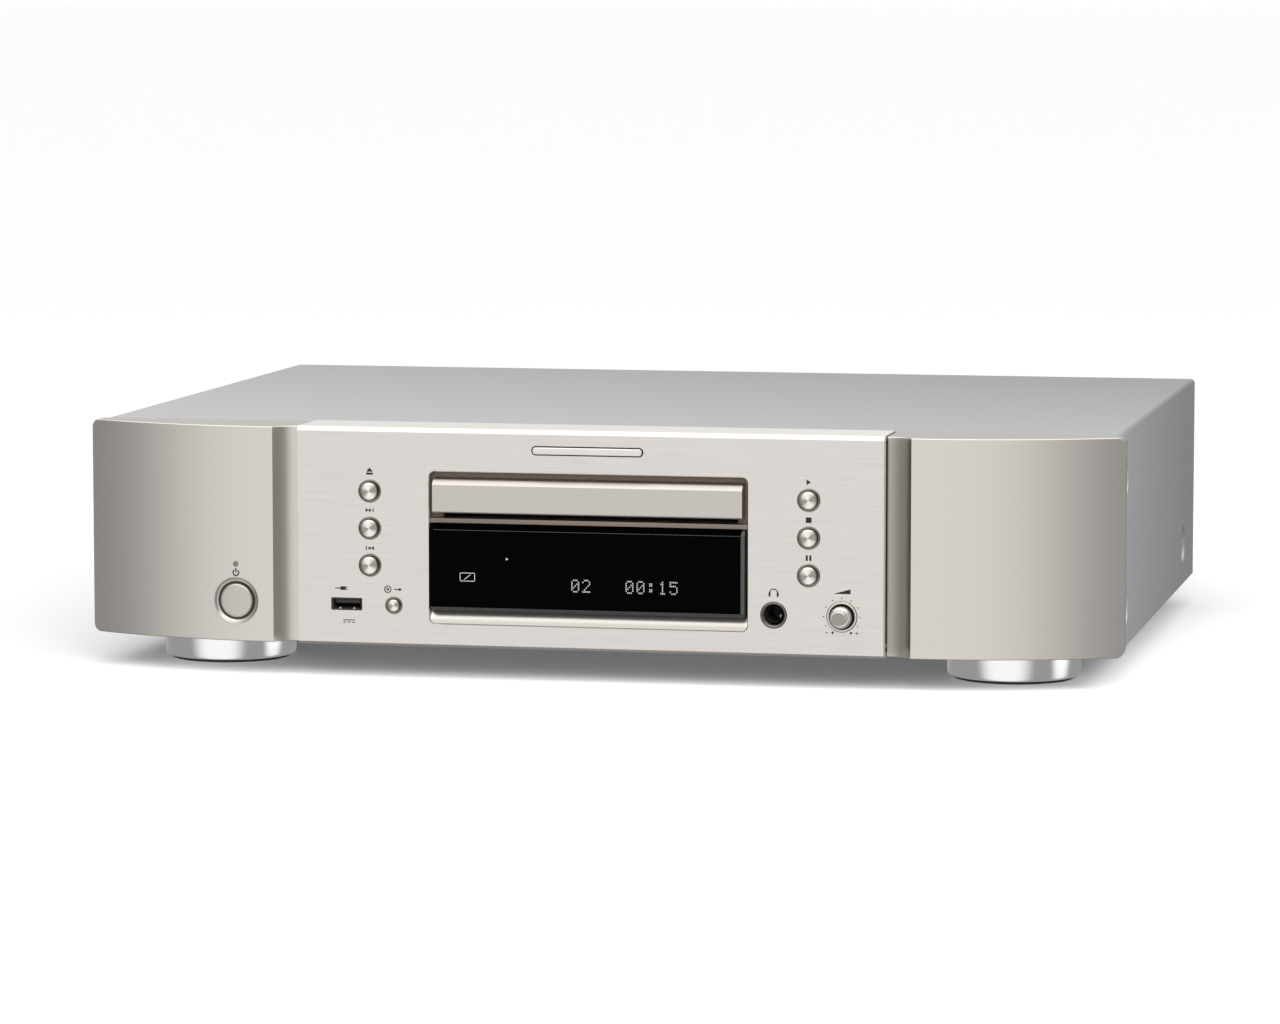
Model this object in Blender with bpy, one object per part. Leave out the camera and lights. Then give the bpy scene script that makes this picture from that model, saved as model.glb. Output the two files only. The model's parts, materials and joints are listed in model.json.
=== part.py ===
"""A full-width compact disc player, modelled as its separate pieces.

The world is in metres, +Z up, with the front towards -Y and the origin on the table under the middle.
Lengths below are in millimetres. Depths are measured back from the front plate's face: every piece
hangs from one empty that stands at that face, and millimetres turn to metres where a mesh is made.
"""
import math

import bmesh
import bpy
from mathutils import Vector

MM = 0.001

# Driving dimensions of the case.
WIDTH = 440.0
HEIGHT = 105.0
CASE_DEPTH = 332.0
KNOB_PROUD = 8.0
JACK_DEPTH = 341.0
FOOT_HEIGHT = 13.5
GAP = 0.3
SHEET = 1.4

FRONT_Y = -(JACK_DEPTH - KNOB_PROUD) / 2

# Front panels.
PLATE_HALF = 124.0
PLATE_THICK = 4.5
FLANGE_DEPTH = 29.0
PANEL_INNER = 135.0
PANEL_FRONT = 1.0
PANEL_RADIUS = 182.5
PANEL_BOTTOM = FOOT_HEIGHT + 0.2
PANEL_TOP = HEIGHT - 0.6
COVE_DEPTH = 6.0
CORNER = 3.2
SKIN = 3.0

# Cover and pan.
COVER_HALF = 216.3
COVER_SKIN = 1.2
PAN_HALF = COVER_HALF - COVER_SKIN - GAP
PAN_FRONT = FLANGE_DEPTH + 1.0
PAN_TOP = FOOT_HEIGHT + 0.1 + SHEET
REAR_FACE = CASE_DEPTH - 1.6

# The recess with the drawer and the display window.
RECESS_HALF = 67.2
RECESS_BOTTOM = 23.5
RECESS_TOP = 87.0
RECESS_CORNER = 2.3
FRAME_FRONT = PLATE_THICK + 0.5
FRAME_BACK = FRAME_FRONT + 4.5
WINDOW_HALF = 66.4
WINDOW_BOTTOM = 29.3
WINDOW_TOP = 65.3
WINDOW_PROUD = 3.0
DRAWER_HALF = 65.5
DRAWER_BOTTOM = 70.0
DRAWER_TOP = 84.6
DRAWER_PROUD = 2.5
DRAWER_BACK = 5.0

# Controls: (across, height) centres on the front.
TRANSPORT_X = 92.8
TRANSPORT_ROWS = (78.3, 62.75, 47.25)
LEFT_KEYS = ("eject_button", "next_button", "previous_button")
RIGHT_KEYS = ("play_button", "stop_button", "pause_button")
INPUT_KEY = (-82.6, 30.6)
USB_PORT = (-102.9, 30.75)
PHONES_JACK = (78.3, 30.6)
LEVEL_KNOB = (106.7, 30.6)
POWER_BUTTON = (-151.4, 30.7)
STANDBY_LIGHT = (-151.4, 46.2)

# Chips and capacitors of the main board: across, depth, half width and height.
MAIN_BOARD_PARTS = (
    (-120.0, 110.0, 12.0, 2.0),
    (-165.0, 150.0, 8.0, 2.0),
    (-120.0, 200.0, 9.0, 2.0),
    (-180.0, 250.0, 5.0, 14.0),
    (-160.0, 250.0, 5.0, 14.0),
)

# Rear connectors: centre across and height, half width and half height.
REAR_CONNECTORS = {
    "mains_inlet": (178.0, 40.0, 14.0, 10.0),
    "line_outputs": (-178.0, 58.0, 9.0, 19.0),
    "digital_outputs": (-130.0, 58.0, 9.0, 19.0),
}
KEY_RADIUS = 3.6
KEY_HOLE = 4.55
INPUT_RADIUS = 2.5
INPUT_HOLE = 3.4
POWER_RADIUS = 7.75
POWER_HOLE = 10.05
KNOB_RADIUS = 4.5
KNOB_RING = 6.3
BOARD_FRONT = 18.0

# Feet.
FOOT_RADIUS = 28.0
FOOT_X = 170.0
FOOT_ROWS = (("front", 58.0), ("rear", 282.0))
PAD_HEIGHT = 0.8

# The disc drive.
SPINDLE = 80.0
TRAY_HALF = 62.0
TRAY_BOTTOM = 70.8
TRAY_TOP = 79.5
TRAY_BACK = 190.0
SLOT_HALF = 23.0
DISC_RADIUS = 60.5
LOADER_HALF = 72.0
LOADER_WALL = 3.5
LOADER_FRONT = 27.0
LOADER_BACK = 200.0
LOADER_FLOOR = 44.0
LOADER_TOP = 85.2
RACK_LINE = -50.0
RACK_BOTTOM = 68.3
LOADING_MODULE = 1.5
LOADING_TEETH = 16
LOADING_Y = 43.0
PULLEY_RADIUS = 10.0
MOTOR_X = -10.0
MOTOR_PULLEY_RADIUS = 4.0
BELT_LEVELS = (61.0, 64.5)
TRAVERSE_HALF = 46.0
TRAVERSE_FRONT = 58.0
TRAVERSE_BACK = 168.0
TRAVERSE_TOP = 68.0
TRAVERSE_SHEET = 2.0
HINGE = (160.0, 62.0)
CAM_FRONT = 52.0
CAM_BACK = 54.4
CAM_PIN = (16.0, 64.0)
CAM_TRAVEL = 18.0
CAM_DROP = 13.0
ROD_X = 20.5
ROD_LEVEL = 63.5
ROD_RADIUS = 1.5
LENS_Y = 104.0
SLED_MODULE = 0.8
SLED_TEETH = 16
PINION_TEETH = 10
SLED_LINE = 28.0
SLED_GEAR_Y = 132.0
SLED_LEVELS = (62.0, 65.0)

# Finishes: base colour, roughness, metallic.
FINISHES = {
    "champagne_aluminium": ((0.66, 0.62, 0.58), 0.34, 1.0),
    "silver_sheet": ((0.55, 0.55, 0.54), 0.45, 1.0),
    "polished_silver": ((0.80, 0.80, 0.80), 0.18, 1.0),
    "zinc_steel": ((0.52, 0.53, 0.54), 0.42, 1.0),
    "black_acrylic": ((0.004, 0.004, 0.004), 0.08, 0.0),
    "dark_moulding": ((0.05, 0.045, 0.04), 0.55, 0.0),
    "white_moulding": ((0.78, 0.77, 0.72), 0.45, 0.0),
    "rubber": ((0.02, 0.02, 0.02), 0.85, 0.0),
    "green_board": ((0.02, 0.14, 0.06), 0.45, 0.0),
    "display_glass": ((0.05, 0.06, 0.06), 0.12, 0.0),
    "copper_wire": ((0.60, 0.28, 0.12), 0.35, 1.0),
    "gold_plate": ((0.85, 0.62, 0.25), 0.22, 1.0),
    "lens": ((0.20, 0.24, 0.42), 0.05, 0.0),
    "red_light": ((0.45, 0.03, 0.02), 0.25, 0.0),
}

piece_origins = {}


# ---------------------------------------------------------------- drawing tools

def in_space(across, along, level, axis):
    """Turn a point of an outline, and its level along the axis, into x, y, z."""
    if axis == "X":
        return Vector((level, across, along))
    if axis == "Y":
        return Vector((across, level, along))
    return Vector((across, along, level))


def prism(outline, axis, span):
    """Extrude a closed outline along an axis between two levels."""
    shape = bmesh.new()
    low, high = span
    corners = [shape.verts.new(in_space(across, along, low, axis)) for across, along in outline]
    face = shape.faces.new(corners)
    grown = bmesh.ops.extrude_face_region(shape, geom=[face])["geom"]
    moved = [item for item in grown if isinstance(item, bmesh.types.BMVert)]
    bmesh.ops.translate(shape, verts=moved, vec=in_space(0.0, 0.0, high - low, axis))
    bmesh.ops.recalc_face_normals(shape, faces=shape.faces)
    return shape


def block(x_span, y_span, z_span):
    """A box between a low and a high limit each way."""
    outline = [(x_span[0], y_span[0]), (x_span[1], y_span[0]), (x_span[1], y_span[1]), (x_span[0], y_span[1])]
    return prism(outline, "Z", z_span)


def turned(profile, axis, centre, sides=24):
    """Spin (radius, level) points about an axis; a profile off the axis closes on itself as a ring."""
    shape = bmesh.new()
    points = [shape.verts.new((radius, 0.0, level)) for radius, level in profile]
    lines = [shape.edges.new(pair) for pair in zip(points, points[1:])]
    if profile[0][0] > 0.0:
        lines.append(shape.edges.new((points[-1], points[0])))
    bmesh.ops.spin(shape, geom=points + lines, cent=(0, 0, 0), axis=(0, 0, 1), angle=math.tau,
                   steps=sides, use_merge=True)
    bmesh.ops.remove_doubles(shape, verts=shape.verts, dist=MM)
    for point in shape.verts:
        point.co = in_space(point.co.x + centre[0], point.co.y + centre[1], point.co.z, axis)
    shape.normal_update()
    bmesh.ops.recalc_face_normals(shape, faces=shape.faces)
    return shape


def rod(radius, axis, centre, span, sides=24):
    """A plain round bar."""
    return turned([(0.0, span[0]), (radius, span[0]), (radius, span[1]), (0.0, span[1])], axis, centre, sides)


def arc(centre, radii, start, end, steps):
    """Points on an ellipse from one angle to another, in degrees."""
    points = []
    for step in range(steps + 1):
        angle = math.radians(start + (end - start) * step / steps)
        points.append((centre[0] + radii[0] * math.cos(angle), centre[1] + radii[1] * math.sin(angle)))
    return points


def rounded_rectangle(x_span, z_span, radius, steps=3):
    """A rectangle's outline with round corners."""
    corners = ((x_span[1], z_span[0], -90), (x_span[1], z_span[1], 0), (x_span[0], z_span[1], 90),
               (x_span[0], z_span[0], 180))
    points = []
    for x, z, start in corners:
        centre = (x - math.copysign(radius, x - sum(x_span) / 2),
                  z - math.copysign(radius, z - sum(z_span) / 2))
        points += arc(centre, (radius, radius), start, start + 90, steps)
    return points


def around(centre, half):
    """The low and high limits either side of a value."""
    return (centre - half, centre + half)


def mirrored(outline):
    """The same outline on the other side of the middle."""
    return [(-across, along) for across, along in outline]


# ---------------------------------------------------------------- gear teeth

def tooth_flank(module):
    """Half the thickness of a tooth at its tip and at its root, with room for backlash."""
    half_pitch_line = 0.40 * math.pi * module / 2
    slope = math.tan(math.radians(20.0))
    return half_pitch_line - 0.8 * module * slope, half_pitch_line + 1.1 * module * slope


def gear_outline(teeth, module, centre, first_angle):
    """A spur gear with straight-sided teeth, one of them at the first angle (degrees)."""
    pitch_radius = teeth * module / 2
    tip_radius = pitch_radius + 0.8 * module
    root_radius = pitch_radius - 1.1 * module
    tip_half, root_half = tooth_flank(module)
    points = []
    for tooth in range(teeth):
        middle = math.radians(first_angle) + math.tau * tooth / teeth
        for radius, half in ((root_radius, -root_half), (tip_radius, -tip_half), (tip_radius, tip_half),
                             (root_radius, root_half)):
            angle = middle + half / radius
            points.append((centre[0] + radius * math.cos(angle), centre[1] + radius * math.sin(angle)))
    return points


def rack_outline(pitch_line, back, gap_at, teeth_before, teeth_after, module):
    """A straight rack along Y whose teeth point to +X, with a gap between teeth at one depth."""
    tip_half, root_half = tooth_flank(module)
    pitch = math.pi * module
    tip = pitch_line + 0.8 * module
    root = pitch_line - 1.1 * module
    points = []
    for tooth in range(-teeth_before, teeth_after):
        middle = gap_at + (tooth + 0.5) * pitch
        points += [(root, middle - root_half), (tip, middle - tip_half), (tip, middle + tip_half),
                   (root, middle + root_half)]
    return [(back, points[0][1])] + points + [(back, points[-1][1])]


# ---------------------------------------------------------------- making objects

def clear_scene():
    for item in list(bpy.data.objects):
        bpy.data.objects.remove(item, do_unlink=True)


def finish(name):
    """The material of one finish, made once."""
    material = bpy.data.materials.get(name)
    if material is None:
        colour, roughness, metallic = FINISHES[name]
        material = bpy.data.materials.new(name)
        material.use_nodes = True
        shader = material.node_tree.nodes["Principled BSDF"]
        shader.inputs["Base Color"].default_value = (*colour, 1.0)
        shader.inputs["Roughness"].default_value = roughness
        shader.inputs["Metallic"].default_value = metallic
    return material


def add_empty(name, origin, parent=None):
    """An empty that a group of pieces hangs from."""
    empty = bpy.data.objects.new(name, None)
    bpy.context.scene.collection.objects.link(empty)
    hang(empty, origin, parent)
    return empty


def hang(item, origin, parent):
    """Put an object at its origin, under its parent or under the whole player."""
    piece_origins[item.name] = Vector(origin)
    if parent is None:
        item.location = Vector(origin) * MM + Vector((0.0, FRONT_Y * MM, 0.0))
        return
    item.parent = parent
    item.location = (Vector(origin) - piece_origins[parent.name]) * MM


def add_mesh_object(name, shape, origin, parent):
    """Turn a shape in millimetres into a mesh object in metres."""
    for point in shape.verts:
        point.co = (point.co - Vector(origin)) * MM
    mesh = bpy.data.meshes.new(name)
    shape.to_mesh(mesh)
    shape.free()
    mesh.shade_smooth()
    mesh.set_sharp_from_angle(angle=math.radians(35.0))
    item = bpy.data.objects.new(name, mesh)
    bpy.context.scene.collection.objects.link(item)
    hang(item, origin, parent)
    return item


def add_piece(name, shape, finish_name, parent, origin=(0.0, 0.0, 0.0)):
    """One piece of the player."""
    piece = add_mesh_object(name, shape, origin, parent)
    piece.data.materials.append(finish(finish_name))
    return piece


def combine(piece, operation, shapes):
    """Cut shapes from a piece, or join them to it, one Boolean for each."""
    for shape in shapes:
        helper_name = f"{piece.name}_{operation.lower()}_{len(piece.modifiers)}"
        helper = add_mesh_object(helper_name, shape, piece_origins[piece.name], piece)
        helper.hide_render = True
        helper.display_type = "WIRE"
        modifier = piece.modifiers.new(helper_name, "BOOLEAN")
        modifier.operation = operation
        modifier.solver = "EXACT"
        modifier.object = helper


def cut(piece, *shapes):
    combine(piece, "DIFFERENCE", shapes)


def join(piece, *shapes):
    combine(piece, "UNION", shapes)


# ---------------------------------------------------------------- case

def make_base(player):
    outer, inner = PAN_HALF, PAN_HALF - SHEET
    bottom = PAN_TOP - SHEET
    flange = PAN_TOP + 11.0
    outline = [(-outer, bottom), (outer, bottom), (outer, flange), (inner, flange), (inner, PAN_TOP),
               (-inner, PAN_TOP), (-inner, flange), (-outer, flange)]
    add_piece("chassis_base", prism(outline, "Y", (PAN_FRONT, REAR_FACE - SHEET - GAP)), "zinc_steel", player)


def make_rear_panel(player):
    panel = add_piece("rear_panel", block(around(0, PAN_HALF), (REAR_FACE - SHEET, REAR_FACE),
                                          (PAN_TOP + GAP, PANEL_TOP - COVER_SKIN - GAP)), "zinc_steel",
                      player)
    through = (REAR_FACE - 5, REAR_FACE + 5)
    for x, z, half_width, half_height in REAR_CONNECTORS.values():
        cut(panel, block(around(x, half_width + GAP), through, around(z, half_height + GAP)))


def make_cover(player):
    bend, skin = 2.0, COVER_SKIN
    bottom = PANEL_BOTTOM
    outer = [(COVER_HALF, bottom)] + arc((COVER_HALF - bend, PANEL_TOP - bend), (bend, bend), 0, 90, 3)
    inner = [(COVER_HALF - skin, bottom)]
    inner += arc((COVER_HALF - bend, PANEL_TOP - bend), (bend - skin, bend - skin), 0, 90, 3)
    outline = outer + mirrored(outer)[::-1] + mirrored(inner) + inner[::-1]
    add_piece("top_cover", prism(outline, "Y", (FLANGE_DEPTH + GAP, CASE_DEPTH)), "silver_sheet", player)


def make_subframe(player):
    front = FLANGE_DEPTH - 4.5
    back = front + SHEET
    lift = 16.6
    outline = [(front, lift), (PAN_FRONT - 0.4, lift), (PAN_FRONT - 0.4, PAN_TOP + GAP),
               (42.0, PAN_TOP + GAP), (42.0, PAN_TOP + GAP + SHEET), (PAN_FRONT + 1, PAN_TOP + GAP + SHEET),
               (PAN_FRONT + 1, lift + SHEET), (back, lift + SHEET), (back, 101.0), (front, 101.0)]
    subframe = add_piece("front_subframe", prism(outline, "X", around(0, 211.0)), "zinc_steel", player)
    cut(subframe, block(around(0, 70.0), (front - 5, back + 4), (65.0, 92.0)))


def panel_face(x):
    """Depth of an end panel's curved face at a distance from the middle."""
    run = abs(x) - PANEL_INNER
    return PANEL_FRONT + PANEL_RADIUS - math.sqrt(PANEL_RADIUS ** 2 - run ** 2)


def end_panel_plan(inset):
    """Plan points along the face of the right end panel, from its cove to its outer edge."""
    cove_start, cove_end = PLATE_HALF + GAP, PANEL_INNER
    points = arc((cove_start, PANEL_FRONT), (cove_end - cove_start, COVE_DEPTH), 90, 0, 5)
    steps = 10
    outer = WIDTH / 2
    for step in range(1, steps + 1):
        x = cove_end + (outer - cove_end) * step / steps
        points.append((x, panel_face(x)))
    if inset == 0.0:
        return points
    return [(x, y + inset) for x, y in points]


def make_end_panel(player, name, side):
    outer = WIDTH / 2
    inner = PLATE_HALF + GAP
    corner_bottom = (outer - CORNER, PANEL_BOTTOM + CORNER)
    corner_top = (outer - CORNER, PANEL_TOP - CORNER)
    section = [(inner, PANEL_BOTTOM)] + arc(corner_bottom, (CORNER, CORNER), -90, 0, 4)
    section += arc(corner_top, (CORNER, CORNER), 0, 90, 4) + [(inner, PANEL_TOP)]
    face = end_panel_plan(0.0)
    in_front = [(inner - 1, -5.0), (outer + 1, -5.0), (outer + 1, face[-1][1])] + face[::-1]
    in_front += [(inner - 1, face[0][1])]
    hollow_face = [(min(x, outer - SKIN), y) for x, y in end_panel_plan(SKIN) if x < outer - SKIN]
    hollow_face.append((outer - SKIN, panel_face(outer - SKIN) + SKIN))
    wall_back = FLANGE_DEPTH - 9.0
    hollow = [(inner - 1, FLANGE_DEPTH + 1), (inner - 1, wall_back), (inner + SKIN, wall_back)]
    hollow += [(max(x, inner + SKIN), y) for x, y in hollow_face[1:]] + [(outer - SKIN, FLANGE_DEPTH + 1)]
    if side < 0:
        section, in_front, hollow = mirrored(section), mirrored(in_front), mirrored(hollow)
    panel = add_piece(name, prism(section, "Y", (PANEL_FRONT - 0.5, FLANGE_DEPTH)), "champagne_aluminium",
                      player)
    cut(panel, prism(in_front, "Z", (0.0, HEIGHT + 10)))
    cut(panel, prism(hollow, "Z", (PANEL_BOTTOM + 2.5, PANEL_TOP - 2.5)))
    return panel


def make_end_panels(player):
    make_end_panel(player, "right_end_panel", 1)
    left = make_end_panel(player, "left_end_panel", -1)
    reach = (-5.0, FLANGE_DEPTH - 5)
    cut(left, rod(POWER_HOLE, "Y", POWER_BUTTON, reach, 32), rod(1.3, "Y", STANDBY_LIGHT, reach, 12))


def make_front_plate(player):
    top, bottom = HEIGHT, FOOT_HEIGHT
    top_edge, bottom_edge = 1.8, 1.2
    outline = [(0.0, bottom + bottom_edge), (bottom_edge, bottom), (22.0, bottom), (22.0, bottom + 2.2),
               (PLATE_THICK, bottom + 2.2), (PLATE_THICK, top - 2.5), (FLANGE_DEPTH, top - 2.5),
               (FLANGE_DEPTH, top), (top_edge, top), (0.0, top - top_edge)]
    plate = add_piece("front_plate", prism(outline, "X", around(0, PLATE_HALF)), "champagne_aluminium",
                      player)
    through = (-3.0, PLATE_THICK + 2)
    recess = rounded_rectangle(around(0, RECESS_HALF), (RECESS_BOTTOM, RECESS_TOP), RECESS_CORNER)
    cut(plate, prism(recess, "Y", through))
    for x in (-TRANSPORT_X, TRANSPORT_X):
        for z in TRANSPORT_ROWS:
            cut(plate, rod(KEY_HOLE, "Y", (x, z), through, 20))
    cut(plate, rod(INPUT_HOLE, "Y", INPUT_KEY, through, 16))
    cut(plate, rod(5.4 + GAP, "Y", PHONES_JACK, through, 24))
    cut(plate, rod(KNOB_RING + GAP, "Y", LEVEL_KNOB, through, 24))
    cut(plate, block(around(USB_PORT[0], 6.7), through, around(USB_PORT[1], 2.65)))


def make_feet(player):
    metal_bottom = PAD_HEIGHT + GAP
    profile = [(0.0, metal_bottom), (26.8, metal_bottom), (FOOT_RADIUS, metal_bottom + 1.2),
               (FOOT_RADIUS, FOOT_HEIGHT - 0.2), (0.0, FOOT_HEIGHT - 0.2)]
    for row, depth in FOOT_ROWS:
        for side_name, x in (("left", -FOOT_X), ("right", FOOT_X)):
            origin = (x, depth, 0.0)
            add_piece(f"foot_{row}_{side_name}", turned(profile, "Z", (x, depth), 32), "polished_silver",
                      player, origin)
            add_piece(f"foot_pad_{row}_{side_name}", rod(25.0, "Z", (x, depth), (0.0, PAD_HEIGHT), 24),
                      "rubber", player, origin)


# ---------------------------------------------------------------- recess and display

def make_recess_frame(player):
    """The dark moulding behind the recess, with its sill, its ledge and the way through for the tray."""
    frame = add_piece("recess_frame", block(around(0, 70.8), (FRAME_FRONT, FRAME_BACK), (19.0, 93.0)),
                      "dark_moulding", player)
    through = (FRAME_FRONT - 2, FRAME_BACK + 2)
    ledge_bottom, ledge_top = WINDOW_TOP + GAP, 67.6
    cut(frame, block(around(0, WINDOW_HALF + GAP), through, (WINDOW_BOTTOM - GAP, ledge_bottom)))
    cut(frame, block(around(0, DRAWER_HALF + 1.0), through, (ledge_top, RECESS_TOP - 0.4)))
    sill_half = RECESS_HALF - RECESS_CORNER - GAP
    sill_bottom = RECESS_BOTTOM + GAP
    curve = arc((0.4, WINDOW_BOTTOM - 0.6), (FRAME_FRONT, 4.6), -90, 0, 4)
    sill = [(0.4, sill_bottom)] + curve + [(FRAME_FRONT + 1, curve[-1][1]), (FRAME_FRONT + 1, sill_bottom)]
    join(frame, prism(sill, "X", around(0, sill_half)))
    join(frame, block(around(0, sill_half), (0.2, FRAME_FRONT + 1), (ledge_bottom, ledge_top)))


def make_display(player):
    front = -WINDOW_PROUD
    outline = [(front, 30.8), (front + 1.4, WINDOW_BOTTOM), (8.0, WINDOW_BOTTOM), (8.0, WINDOW_TOP),
               (front + 2.8, WINDOW_TOP), (front, 63.1)]
    add_piece("display_window", prism(outline, "X", around(0, WINDOW_HALF)), "black_acrylic", player)
    add_piece("vacuum_display", block(around(0, 52.0), (FRAME_BACK + 0.5, 16.0), (34.0, 61.0)),
              "display_glass", player)


def make_control_board(player):
    """The upright board behind the front, with its key switches and the encoder of the level knob."""
    board = add_piece("control_board", block(around(0, 119.0), (BOARD_FRONT, BOARD_FRONT + 1.6),
                                             (20.0, 98.0)), "green_board", player)
    cut(board, block(around(0, 69.0), (BOARD_FRONT - 2, BOARD_FRONT + 4), (66.0, 100.0)))
    switch = (BOARD_FRONT - 2.4, BOARD_FRONT + 0.5)
    for x in (-TRANSPORT_X, TRANSPORT_X):
        for z in TRANSPORT_ROWS:
            join(board, block(around(x, 3.0), switch, around(z, 3.0)))
    join(board, block(around(INPUT_KEY[0], 3.0), switch, around(INPUT_KEY[1], 3.0)))
    join(board, block(around(LEVEL_KNOB[0], 6.0), (12.8, BOARD_FRONT + 0.5), around(LEVEL_KNOB[1], 6.0)))


# ---------------------------------------------------------------- controls

def key_profile(radius, front):
    """A domed key on a narrower stem, as (radius, depth) points."""
    return [(0.0, front), (radius * 0.7, front + 0.35), (radius, front + 1.2), (radius, 5.6),
            (radius - 1.0, 5.6), (radius - 1.0, BOARD_FRONT - 3.5), (0.0, BOARD_FRONT - 3.5)]


def make_keys(player):
    for names, x in ((LEFT_KEYS, -TRANSPORT_X), (RIGHT_KEYS, TRANSPORT_X)):
        for name, z in zip(names, TRANSPORT_ROWS):
            add_piece(name, turned(key_profile(KEY_RADIUS, -1.8), "Y", (x, z), 16), "polished_silver", player,
                      (x, 0.0, z))
    x, z = INPUT_KEY
    add_piece("input_button", turned(key_profile(INPUT_RADIUS, -1.0), "Y", (x, z), 16), "polished_silver",
              player, (x, 0.0, z))


def make_level_knob(player):
    x, z = LEVEL_KNOB
    ring = [(KNOB_RING - 1.0, -0.5), (KNOB_RING, 0.2), (KNOB_RING, 5.5), (KNOB_RING - 1.0, 5.5)]
    add_piece("knob_ring", turned(ring, "Y", LEVEL_KNOB, 24), "polished_silver", player, (x, 0.0, z))
    profile = [(0.0, -KNOB_PROUD), (2.9, -KNOB_PROUD), (3.3, -KNOB_PROUD + 0.5), (KNOB_RADIUS, -4.6),
               (KNOB_RADIUS, 6.0), (3.0, 6.0), (3.0, 12.4), (0.0, 12.4)]
    add_piece("level_knob", turned(profile, "Y", LEVEL_KNOB, 24), "polished_silver", player, (x, 0.0, z))


def make_power_button(player):
    x, z = POWER_BUTTON
    surface = panel_face(x)
    ring = [(POWER_RADIUS + 0.5, surface + 1.4), (POWER_HOLE - GAP, surface + 0.2), (POWER_HOLE - GAP, 8.0),
            (POWER_RADIUS + 0.5, 8.0)]
    add_piece("power_button_ring", turned(ring, "Y", POWER_BUTTON, 32), "champagne_aluminium", player,
              (x, 0.0, z))
    front = surface - 0.4
    button = [(0.0, front), (POWER_RADIUS - 1.0, front + 0.1), (POWER_RADIUS, front + 0.8),
              (POWER_RADIUS, 9.0), (4.0, 9.0), (4.0, 16.0), (0.0, 16.0)]
    add_piece("power_button", turned(button, "Y", POWER_BUTTON, 32), "champagne_aluminium", player,
              (x, 0.0, z))
    add_piece("power_switch", block(around(x, 5.75), (19.2, FLANGE_DEPTH - 5), around(z, 5.75)),
              "dark_moulding", player)
    light = [(0.0, panel_face(STANDBY_LIGHT[0]) - 0.1), (0.9, panel_face(STANDBY_LIGHT[0]) - 0.1), (0.9, 6.0),
             (2.0, 6.0), (2.0, 14.0), (0.0, 14.0)]
    add_piece("standby_light", turned(light, "Y", STANDBY_LIGHT, 12), "red_light", player)


def make_front_sockets(player):
    x, z = PHONES_JACK
    ring = 5.4
    bore = 3.2
    jack = add_piece("phones_jack", turned([(bore, -0.5), (ring, -0.5), (ring, 6.0), (bore, 6.0)], "Y",
                                           PHONES_JACK, 24), "gold_plate", player, (x, 0.0, z))
    body = block(around(x, 7.0), (FRAME_FRONT, BOARD_FRONT - GAP), around(z, 7.0))
    join(jack, body)
    cut(jack, rod(bore, "Y", PHONES_JACK, (FRAME_FRONT - 1, 16.0), 24))
    x, z = USB_PORT
    port = add_piece("usb_port", block(around(x, 6.4), (0.4, BOARD_FRONT - GAP), around(z, 2.35)),
                     "zinc_steel", player)
    cut(port, block(around(x, 5.9), (-1.0, 14.0), around(z, 1.95)))
    join(port, block(around(x, 5.2), (2.0, 14.6), (z + 0.1, z + 1.7)))


# ---------------------------------------------------------------- electronics and rear

def phono_socket(x, z):
    """A phono socket's barrel, standing out of the rear panel."""
    return turned([(1.9, REAR_FACE - 0.5), (4.1, REAR_FACE - 0.5), (4.1, JACK_DEPTH), (1.9, JACK_DEPTH)], "Y",
                  (x, z), 16)


def make_rear_connectors(player):
    x, z, half_width, half_height = REAR_CONNECTORS["mains_inlet"]
    inlet = add_piece("mains_inlet", block(around(x, half_width), (REAR_FACE - 16, REAR_FACE + 1.5),
                                           around(z, half_height)), "dark_moulding", player)
    mouth = rounded_rectangle(around(x, 8.9), around(z, 4.6), 4.0)
    cut(inlet, prism(mouth, "Y", (REAR_FACE - 11, REAR_FACE + 3)))
    for pin_x in around(x, 4.4):
        join(inlet, rod(1.2, "Y", (pin_x, z), (REAR_FACE - 12, REAR_FACE - 1.5), 12))
    for name in ("line_outputs", "digital_outputs"):
        x, z, half_width, half_height = REAR_CONNECTORS[name]
        base = add_piece(name, block(around(x, half_width), (REAR_FACE - 8, REAR_FACE + 0.4),
                                     around(z, half_height)), "dark_moulding", player)
        join(base, phono_socket(x, z + 9.0))
        if name == "line_outputs":
            join(base, phono_socket(x, z - 9.0))
        else:
            join(base, block(around(x, 5.0), (REAR_FACE, REAR_FACE + 2), around(z - 9.0, 5.0)))


def make_power_supply(player):
    x, y = 150.0, 262.0
    bottom, top = PAN_TOP + GAP, 62.0
    ring = [(10.0, bottom + 4), (14.0, bottom), (38.0, bottom), (44.0, bottom + 8), (44.0, top - 8),
            (38.0, top), (14.0, top), (10.0, top - 4)]
    add_piece("transformer", turned(ring, "Z", (x, y), 24), "copper_wire", player, (x, y, 0.0))
    board_level = 21.0
    board = add_piece("power_board", block((95.0, 205.0), (60.0, 205.0), (board_level, board_level + 1.6)),
                      "green_board", player)
    for column in (120.0, 150.0):
        for row in (95.0, 125.0):
            join(board, rod(11.0, "Z", (column, row), (board_level + 1, 55.0), 16))
    join(board, block((180.0, 184.0), (80.0, 150.0), (board_level + 1, 60.0)))


def make_main_board(player):
    level = 21.0
    board = add_piece("main_board", block((-205.0, -85.0), (60.0, 310.0), (level, level + 1.6)),
                      "green_board", player)
    for x, y, half, height in MAIN_BOARD_PARTS:
        join(board, block(around(x, half), around(y, half), (level + 1, level + 1.6 + height)))


# ---------------------------------------------------------------- loading mechanism

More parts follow.
